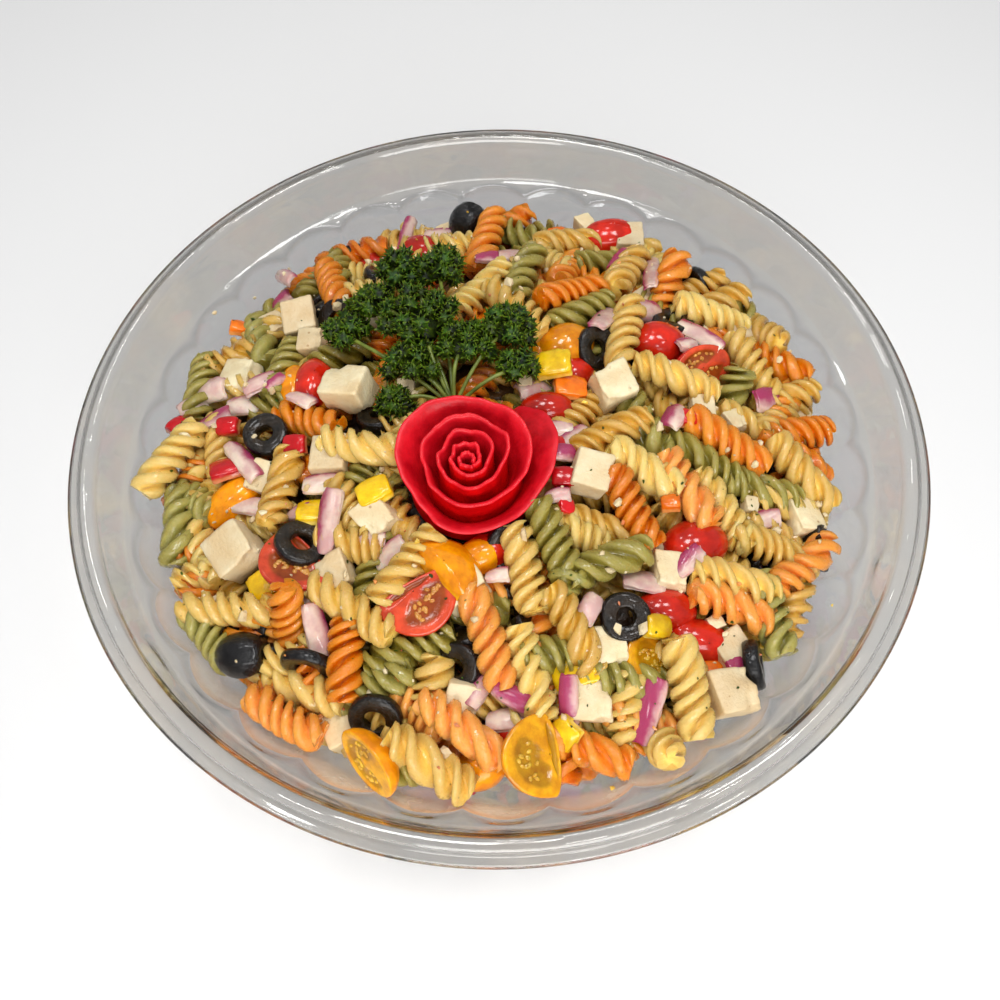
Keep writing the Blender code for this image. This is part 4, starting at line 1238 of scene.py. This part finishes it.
class Finish(Nodes):
    """A material with one Principled shader, built node by node."""

    def __init__(self, name, **constants):
        self.material = bpy.data.materials.new(name)
        self.material.use_nodes = True
        super().__init__(self.material.node_tree)
        self.shader = self.tree.nodes["Principled BSDF"]
        self.set(**constants)

    def set(self, **values):
        for label, value in values.items():
            self.put(self.shader.inputs[label.replace("_", " ")], value)

    def value(self, name):
        """The number that each vertex holds under a name."""
        return self.add("ShaderNodeAttribute", attribute_name=name).node.outputs["Fac"]

    def use(self, group, **inputs):
        """Places a shader node group and returns its outputs by name."""
        node = self.tree.nodes.new("ShaderNodeGroup")
        node.node_tree = group
        for label, value in inputs.items():
            self.put(node.inputs[label.replace("_", " ")], value)
        return node.outputs

    def mottled(self, light, deep, patch, grain, reach=None):
        """Uneven colour and fine pits. With a reach, the colour shifts by up to that for each piece."""
        shift = {} if reach is None else {"Tone": self.value("tone"), "Tone_Reach": reach}
        group = shared_group("mottle", mottle_group)
        return self.use(group, Light=light, Deep=deep, Patch_Scale=patch, Grain_Scale=grain, **shift)

    def specked(self, share, size, oil):
        """Masks of herb flecks, by their share and size, and of oily spots."""
        group = shared_group("herbs and oil", herbs_group)
        return self.use(group, Flecks=share, Fleck_Scale=size, Oil_Scale=oil)

    def finished(self, colour, height, strength, distance):
        """The material with its colour, and bumps of a strength and a depth in millimetres."""
        bumps = self.add("ShaderNodeBump", strength, distance * MM, None, height)
        self.set(Base_Color=colour, Normal=bumps)
        return self.material


def rgb(red, green, blue):
    """A colour as a screen shows it, each part out of 255."""
    parts = (c / 255.0 for c in (red, green, blue))
    return (*(c / 12.92 if c <= 0.04045 else ((c + 0.055) / 1.055) ** 2.4 for c in parts), 1.0)


def mottle_group():
    """Uneven colour for food: patches between two colours, a shift for each piece and fine pits."""
    nodes = Group(
        "mottle", "ShaderNodeTree", {"Color": "Color", "Height": "Float", "Patch": "Float"},
        Light=(1.0, 1.0, 1.0, 1.0), Deep=(0.0, 0.0, 0.0, 1.0), Patch_Scale=120.0, Grain_Scale=900.0,
        Tone=0.5, Tone_Reach=0.2,
    )
    share = nodes.ramp(nodes.noise(nodes["Patch Scale"], 3.0, 0.6), 0.32, 0.68)
    shift = nodes.times(nodes.calc("SUBTRACT", nodes["Tone"], 0.5), nodes["Tone Reach"])
    changes = [nodes.times_plus(shift, by, start) for by, start in ((0.07, 0.5), (-0.5, 1.0), (1.0, 1.0))]
    colour = nodes.mix(share, nodes["Deep"], nodes["Light"])
    colour = nodes.add("ShaderNodeHueSaturation", *changes, 1.0, colour)
    return nodes.finish(Color=colour, Height=nodes.noise(nodes["Grain Scale"], 2.0, 0.6), Patch=share)


def herbs_group():
    """Specks of dried herb and oil on a surface: a mask of dark flecks and one of wet spots."""
    nodes = Group(
        "herbs and oil", "ShaderNodeTree", {"Flecks": "Float", "Oil": "Float"},
        Fleck_Scale=420.0, Flecks=0.12, Oil_Scale=160.0,
    )
    place = nodes.add("ShaderNodeTexCoord").node.outputs["Object"]
    cells = nodes.add("ShaderNodeTexVoronoi", place, nodes["Fleck Scale"]).node
    chosen = nodes.add("ShaderNodeSeparateColor", cells.outputs["Color"])
    chosen = nodes.calc("LESS_THAN", chosen, nodes["Flecks"])
    near = nodes.ramp(cells.outputs["Distance"], 0.3, 0.16)
    oil = nodes.ramp(nodes.noise(nodes["Oil Scale"], 2.0, 0.5), 0.42, 0.6)
    return nodes.finish(Flecks=nodes.times(chosen, near), Oil=oil)


def clear_plastic():
    """Clear plastic that lets lamplight through, smeared above its ledge; its grey tint and the darkening
    along its folds are painted shade.
    """
    look = Finish("clear plastic", Roughness=0.04, IOR=1.5, Transmission_Weight=1.0)
    # The grey of these colours is painted shade, standing in for a dimmer surface seen through the plastic;
    # the warmer patches above the ledge are oily smears.
    smears = look.ramp(look.noise(17.0, 4.0, 0.65), 0.42, 0.64)
    band = look.mix(smears, (0.55, 0.54, 0.52, 1.0), (0.6, 0.565, 0.52, 1.0))
    colour = look.mix(look.value("band"), (0.545, 0.545, 0.55, 1.0), band)
    # Painted shade: darker along the arches of the flutes, where the bent plastic shows dark lines.
    colour = look.mix(look.times(look.value("fold"), 0.32), colour, (0.26, 0.24, 0.21, 1.0))
    thin = look.add("ShaderNodeBsdfTransparent", (0.93, 0.92, 0.905, 1.0))
    shadow = look.add("ShaderNodeLightPath").node.outputs["Is Shadow Ray"]
    both = look.add("ShaderNodeMixShader", shadow, look.shader.outputs[0], thin)
    look.put(look.tree.nodes["Material Output"].inputs["Surface"], both)
    return look.finished(colour, look.noise(40.0, 2.0, 0.5), 0.15, 0.6)


def pasta(name, light, deep, edge, groove_painted_light_and_shade):
    """Cooked pasta in oil, with flecks of herb. Its fins have a colour of their own and its grooves another,
    as painted light and shade: the grooves are lighter than the body for yellow and orange and darker for
    green.
    """
    look = Finish(
        name, IOR=1.42, Coat_Roughness=0.1, Subsurface_Weight=0.35, Subsurface_Scale=0.006,
        Subsurface_Radius=(1.0, 0.6, 0.3),
    )
    found = look.mottled(light, deep, 95.0, 1500.0, 0.5)
    herbs = look.specked(0.02, 700.0, 420.0)
    fin = look.value("fin")
    # Painted light and shade by fin: the fin colour on the ribs, the groove colour down in the crevices.
    colour = look.mix(look.ramp(fin, 0.5, 1.0, 0.0, 0.5), found["Color"], edge)
    colour = look.mix(look.ramp(fin, 0.7, 0.0, 0.0, 0.85), colour, groove_painted_light_and_shade)
    colour = look.mix(look.times(herbs["Flecks"], 0.6), colour, rgb(104, 84, 34))
    look.set(Roughness=look.ramp(herbs["Oil"], 0.0, 1.0, 0.34, 0.12))
    look.set(Coat_Weight=look.ramp(herbs["Oil"], 0.2, 1.0, 0.05, 0.7))
    return look.finished(colour, found["Height"], 0.7, 0.35)


def black_olive():
    """Black olive: glossy skin, and cut faces that are browner and duller."""
    look = Finish("black olive", IOR=1.36, Coat_Weight=0.3, Coat_Roughness=0.05)
    found = look.mottled(rgb(38, 26, 13), rgb(12, 8, 4), 260.0, 1300.0, 0.4)
    cut = look.value("cut")
    look.set(Roughness=look.ramp(cut, 0.0, 1.0, 0.1, 0.24))
    return look.finished(look.mix(cut, rgb(8, 7, 9), found["Color"]), found["Height"], 0.9, 0.6)


def tomato():
    """Red or golden tomato by kind: glossy skin, watery flesh, gel and seeds by how it is cut."""
    look = Finish(
        "tomato", Roughness=0.16, IOR=1.4, Coat_Weight=0.4, Coat_Roughness=0.06, Subsurface_Weight=0.15,
        Subsurface_Scale=0.003,
    )
    kind, cut = look.value("kind"), look.value("cut")
    found = look.mottled(rgb(255, 255, 255), rgb(214, 196, 186), 150.0, 700.0, 0.5)
    colour = look.mix(kind, rgb(204, 36, 16), rgb(248, 158, 8))
    for start, end, red, golden in (
        (0.2, 0.8, (226, 82, 48), (250, 182, 20)), (1.05, 1.7, (164, 76, 26), (196, 142, 12)),
        (2.4, 2.8, (226, 158, 74), (236, 186, 60)),
    ):
        colour = look.mix(look.ramp(cut, start, end), colour, look.mix(kind, rgb(*red), rgb(*golden)))
    colour = look.mix(1.0, colour, found["Color"], "MULTIPLY")
    pits = look.times(found["Height"], look.ramp(cut, 0.5, 1.0, 0.1, 1.0))
    return look.finished(colour, pits, 0.3, 0.5)


def white_cheese():
    """White brined cheese, matt and crumbly, tinted here and there by the dressing."""
    look = Finish(
        "white cheese", Roughness=0.5, Subsurface_Weight=0.2, Subsurface_Scale=0.003,
        Subsurface_Radius=(1.0, 0.9, 0.7),
    )
    found = look.mottled(rgb(224, 209, 172), rgb(213, 192, 150), 110.0, 850.0, 0.2)
    herbs = look.specked(0.03, 420.0, 70.0)
    colour = look.mix(look.times(herbs["Oil"], 0.26), found["Color"], rgb(208, 168, 112))
    colour = look.mix(look.times(herbs["Flecks"], 0.6), colour, rgb(150, 100, 40))
    return look.finished(colour, found["Height"], 0.6, 0.6)


def red_onion():
    """Red onion: pale watery flesh with fine lines, magenta towards its skin side."""
    look = Finish(
        "red onion", Roughness=0.2, IOR=1.4, Coat_Weight=0.4, Coat_Roughness=0.08, Subsurface_Weight=0.25,
        Subsurface_Scale=0.004,
    )
    found = look.mottled(rgb(226, 202, 184), rgb(202, 160, 154), 130.0, 700.0, 0.3)
    side = look.value("side")
    reach = look.times_plus(found["Patch"], 0.25, look.calc("ADD", side, look.value("kind")))
    lines = look.add("ShaderNodeTexWave", side, 20.0, 1.0, 1.0).node.outputs["Fac"]
    purple = look.mix(look.times(lines, 0.5), rgb(140, 12, 66), rgb(214, 104, 146))
    colour = look.mix(look.ramp(reach, 0.95, 1.4), found["Color"], purple)
    return look.finished(colour, lines, 0.2, 0.3)


def sweet_pepper():
    """Sweet pepper in three colours by kind: glossy skin on top, paler flesh below."""
    look = Finish(
        "sweet pepper", Roughness=0.18, IOR=1.4, Coat_Weight=0.4, Coat_Roughness=0.08,
        Subsurface_Weight=0.15, Subsurface_Scale=0.003,
    )
    kind = look.value("kind")
    warm = look.mix(look.ramp(kind, 0.1, 0.45), rgb(240, 198, 24), rgb(238, 120, 24))
    warm = look.mix(look.ramp(kind, 0.55, 0.9), warm, rgb(200, 18, 28))
    found = look.mottled(rgb(255, 255, 255), rgb(224, 214, 200), 180.0, 500.0, 0.3)
    flesh = look.mix(0.3, warm, rgb(250, 226, 150))
    colour = look.mix(look.ramp(look.value("top"), 0.35, 0.7), flesh, warm)
    return look.finished(look.mix(1.0, colour, found["Color"], "MULTIPLY"), found["Height"], 0.2, 0.5)


def tomato_peel():
    """Tomato peel: deep red and wet, paler where the knife left flesh on its inner side."""
    look = Finish("tomato peel", Roughness=0.32, IOR=1.33, Subsurface_Weight=0.1, Subsurface_Scale=0.002)
    found = look.mottled(rgb(232, 10, 14), rgb(190, 5, 9), 110.0, 420.0)
    inner = look.mix(found["Patch"], rgb(168, 8, 24), rgb(206, 24, 40))
    colour = look.mix(look.ramp(look.value("side"), 0.9, 0.1, 0.0, 0.8), found["Color"], inner)
    colour = look.mix(look.ramp(look.value("top"), 0.93, 1.0, 0.0, 0.6), colour, rgb(222, 34, 48))
    return look.finished(colour, found["Height"], 0.4, 0.5)


def parsley_leaf():
    """Curly parsley: deep green within, with painted highlight along the frilled edges."""
    look = Finish("parsley leaf", Roughness=0.5, IOR=1.35, Subsurface_Weight=0.1, Subsurface_Scale=0.002)
    found = look.mottled(rgb(54, 84, 4), rgb(8, 22, 1), 240.0, 900.0, 0.8)
    # Painted highlight: the tips of the lobes are brightened towards yellow green.
    edge = look.ramp(look.value("side"), 0.45, 1.0)
    colour = look.mix(look.times(edge, 0.62), found["Color"], rgb(112, 144, 16))
    return look.finished(colour, found["Height"], 0.4, 0.3)


def parsley_stalk():
    look = Finish("parsley stalk", Roughness=0.4)
    found = look.mottled(rgb(130, 142, 58), rgb(84, 100, 36), 150.0, 600.0)
    return look.finished(found["Color"], found["Height"], 0.3, 0.3)


def salad_inside_painted_shade():
    # Dark brown as painted shade for the gaps deep in the heap.
    look = Finish("salad inside", Roughness=0.4)
    found = look.mottled(rgb(92, 62, 30), rgb(34, 24, 14), 140.0, 500.0)
    return look.finished(found["Color"], found["Height"], 0.6, 1.5)


def oily_dressing():
    """Oil and vinegar: a thin cream film, patchy, gathered to orange along its upper edge."""
    look = Finish("dressing", Roughness=0.25, IOR=1.44)
    found = look.mottled(rgb(252, 240, 216), rgb(244, 212, 170), 60.0, 420.0)
    top = look.value("top")
    edge = look.ramp(top, 0.72, 1.0)
    thick = look.times_plus(found["Patch"], 0.24, look.times_plus(edge, 0.14, 0.22))
    thick = look.times(thick, look.ramp(top, 0.02, 0.5))
    look.set(Alpha=look.times(thick, look.value("side")))
    colour = look.mix(look.times(edge, 0.6), found["Color"], rgb(232, 168, 96))
    return look.finished(colour, found["Height"], 0.7, 0.5)


# Setting


def make_floor():
    corners = [(x * FLOOR_REACH, y * FLOOR_REACH, -0.2) for x, y in ((-1, -1), (1, -1), (1, 1), (-1, 1))]
    look = Finish("pale floor", Base_Color=(0.8, 0.8, 0.8, 1.0), Roughness=0.8)
    mesh_piece("floor", corners, [(0, 1, 2, 3)], look.material)


def make_lamps():
    for name, (place, size, watts) in LAMPS.items():
        lamp = bpy.data.lights.new(name, "AREA")
        lamp.shape = "RECTANGLE"
        lamp.energy = watts
        lamp.size, lamp.size_y = size
        obj = bpy.data.objects.new(name, lamp)
        obj.location = place
        obj.rotation_euler = (Vector(place) - Vector(LAMP_AIM)).to_track_quat("Z", "Y").to_euler()
        bpy.context.scene.collection.objects.link(obj)


def make_camera():
    """The photograph's view, from 61 degrees above the rim and close by."""
    aim = Vector((0.3, -33.8, 88.0)) * MM
    distance = 374.5 * MM
    height, roll = math.radians(61.1), math.radians(-1.28)
    back = Vector((0.0, -math.cos(height), math.sin(height)))
    data = bpy.data.cameras.new("camera")
    data.lens = 36.04
    data.sensor_width = 36.0
    data.clip_start = 0.01
    camera = bpy.data.objects.new("camera", data)
    turn = back.to_track_quat("Z", "Y").to_matrix() @ Matrix.Rotation(roll, 3, "Z")
    camera.matrix_world = Matrix.LocRotScale(aim + back * distance, turn.to_quaternion(), None)
    bpy.context.scene.collection.objects.link(camera)
    bpy.context.scene.camera = camera


def make_setting():
    make_camera()
    make_floor()
    make_lamps()
    world = bpy.data.worlds.new("studio")
    world.use_nodes = True
    room = world.node_tree.nodes["Background"].inputs
    room["Color"].default_value = (1.0, 1.0, 1.0, 1.0)
    room["Strength"].default_value = ROOM_LIGHT
    bpy.context.scene.world = world
    bpy.context.scene.view_settings.view_transform = "Standard"


def main():
    make_setting()
    unseen = unseen_frames()
    cheese, pepper, leaf = white_cheese(), sweet_pepper(), parsley_leaf()
    make_bowl(clear_plastic())
    make_core(salad_inside_painted_shade())
    # For each pasta: its light and deep colours, a fin colour and a groove colour, the last two painted light
    # and shade.
    colours = {
        "yellow": (rgb(216, 178, 92), rgb(215, 172, 76), rgb(206, 174, 104), rgb(254, 210, 104)),
        "orange": (rgb(222, 130, 20), rgb(214, 114, 12), rgb(218, 140, 40), rgb(240, 132, 18)),
        "green": (rgb(152, 140, 64), rgb(124, 113, 42), rgb(162, 150, 78), rgb(136, 122, 42)),
    }
    pastas = {colour: pasta(f"{colour} pasta", *tones) for colour, tones in colours.items()}
    pieces = make_spirals(pastas, unseen["spiral"])
    pieces += make_olives(black_olive(), unseen["olive"])
    pieces += make_tomatoes(tomato(), unseen["tomato"])
    pieces += make_cheese(cheese, unseen["cheese"])
    pieces += make_vegetables(red_onion(), pepper, unseen["onion"], unseen["pepper"])
    make_crumbs(pieces, {"cheese": cheese, "herb": leaf, "pepper": pepper})
    make_dressing(oily_dressing())
    make_rose(tomato_peel())
    make_parsley(leaf, parsley_stalk())


main()
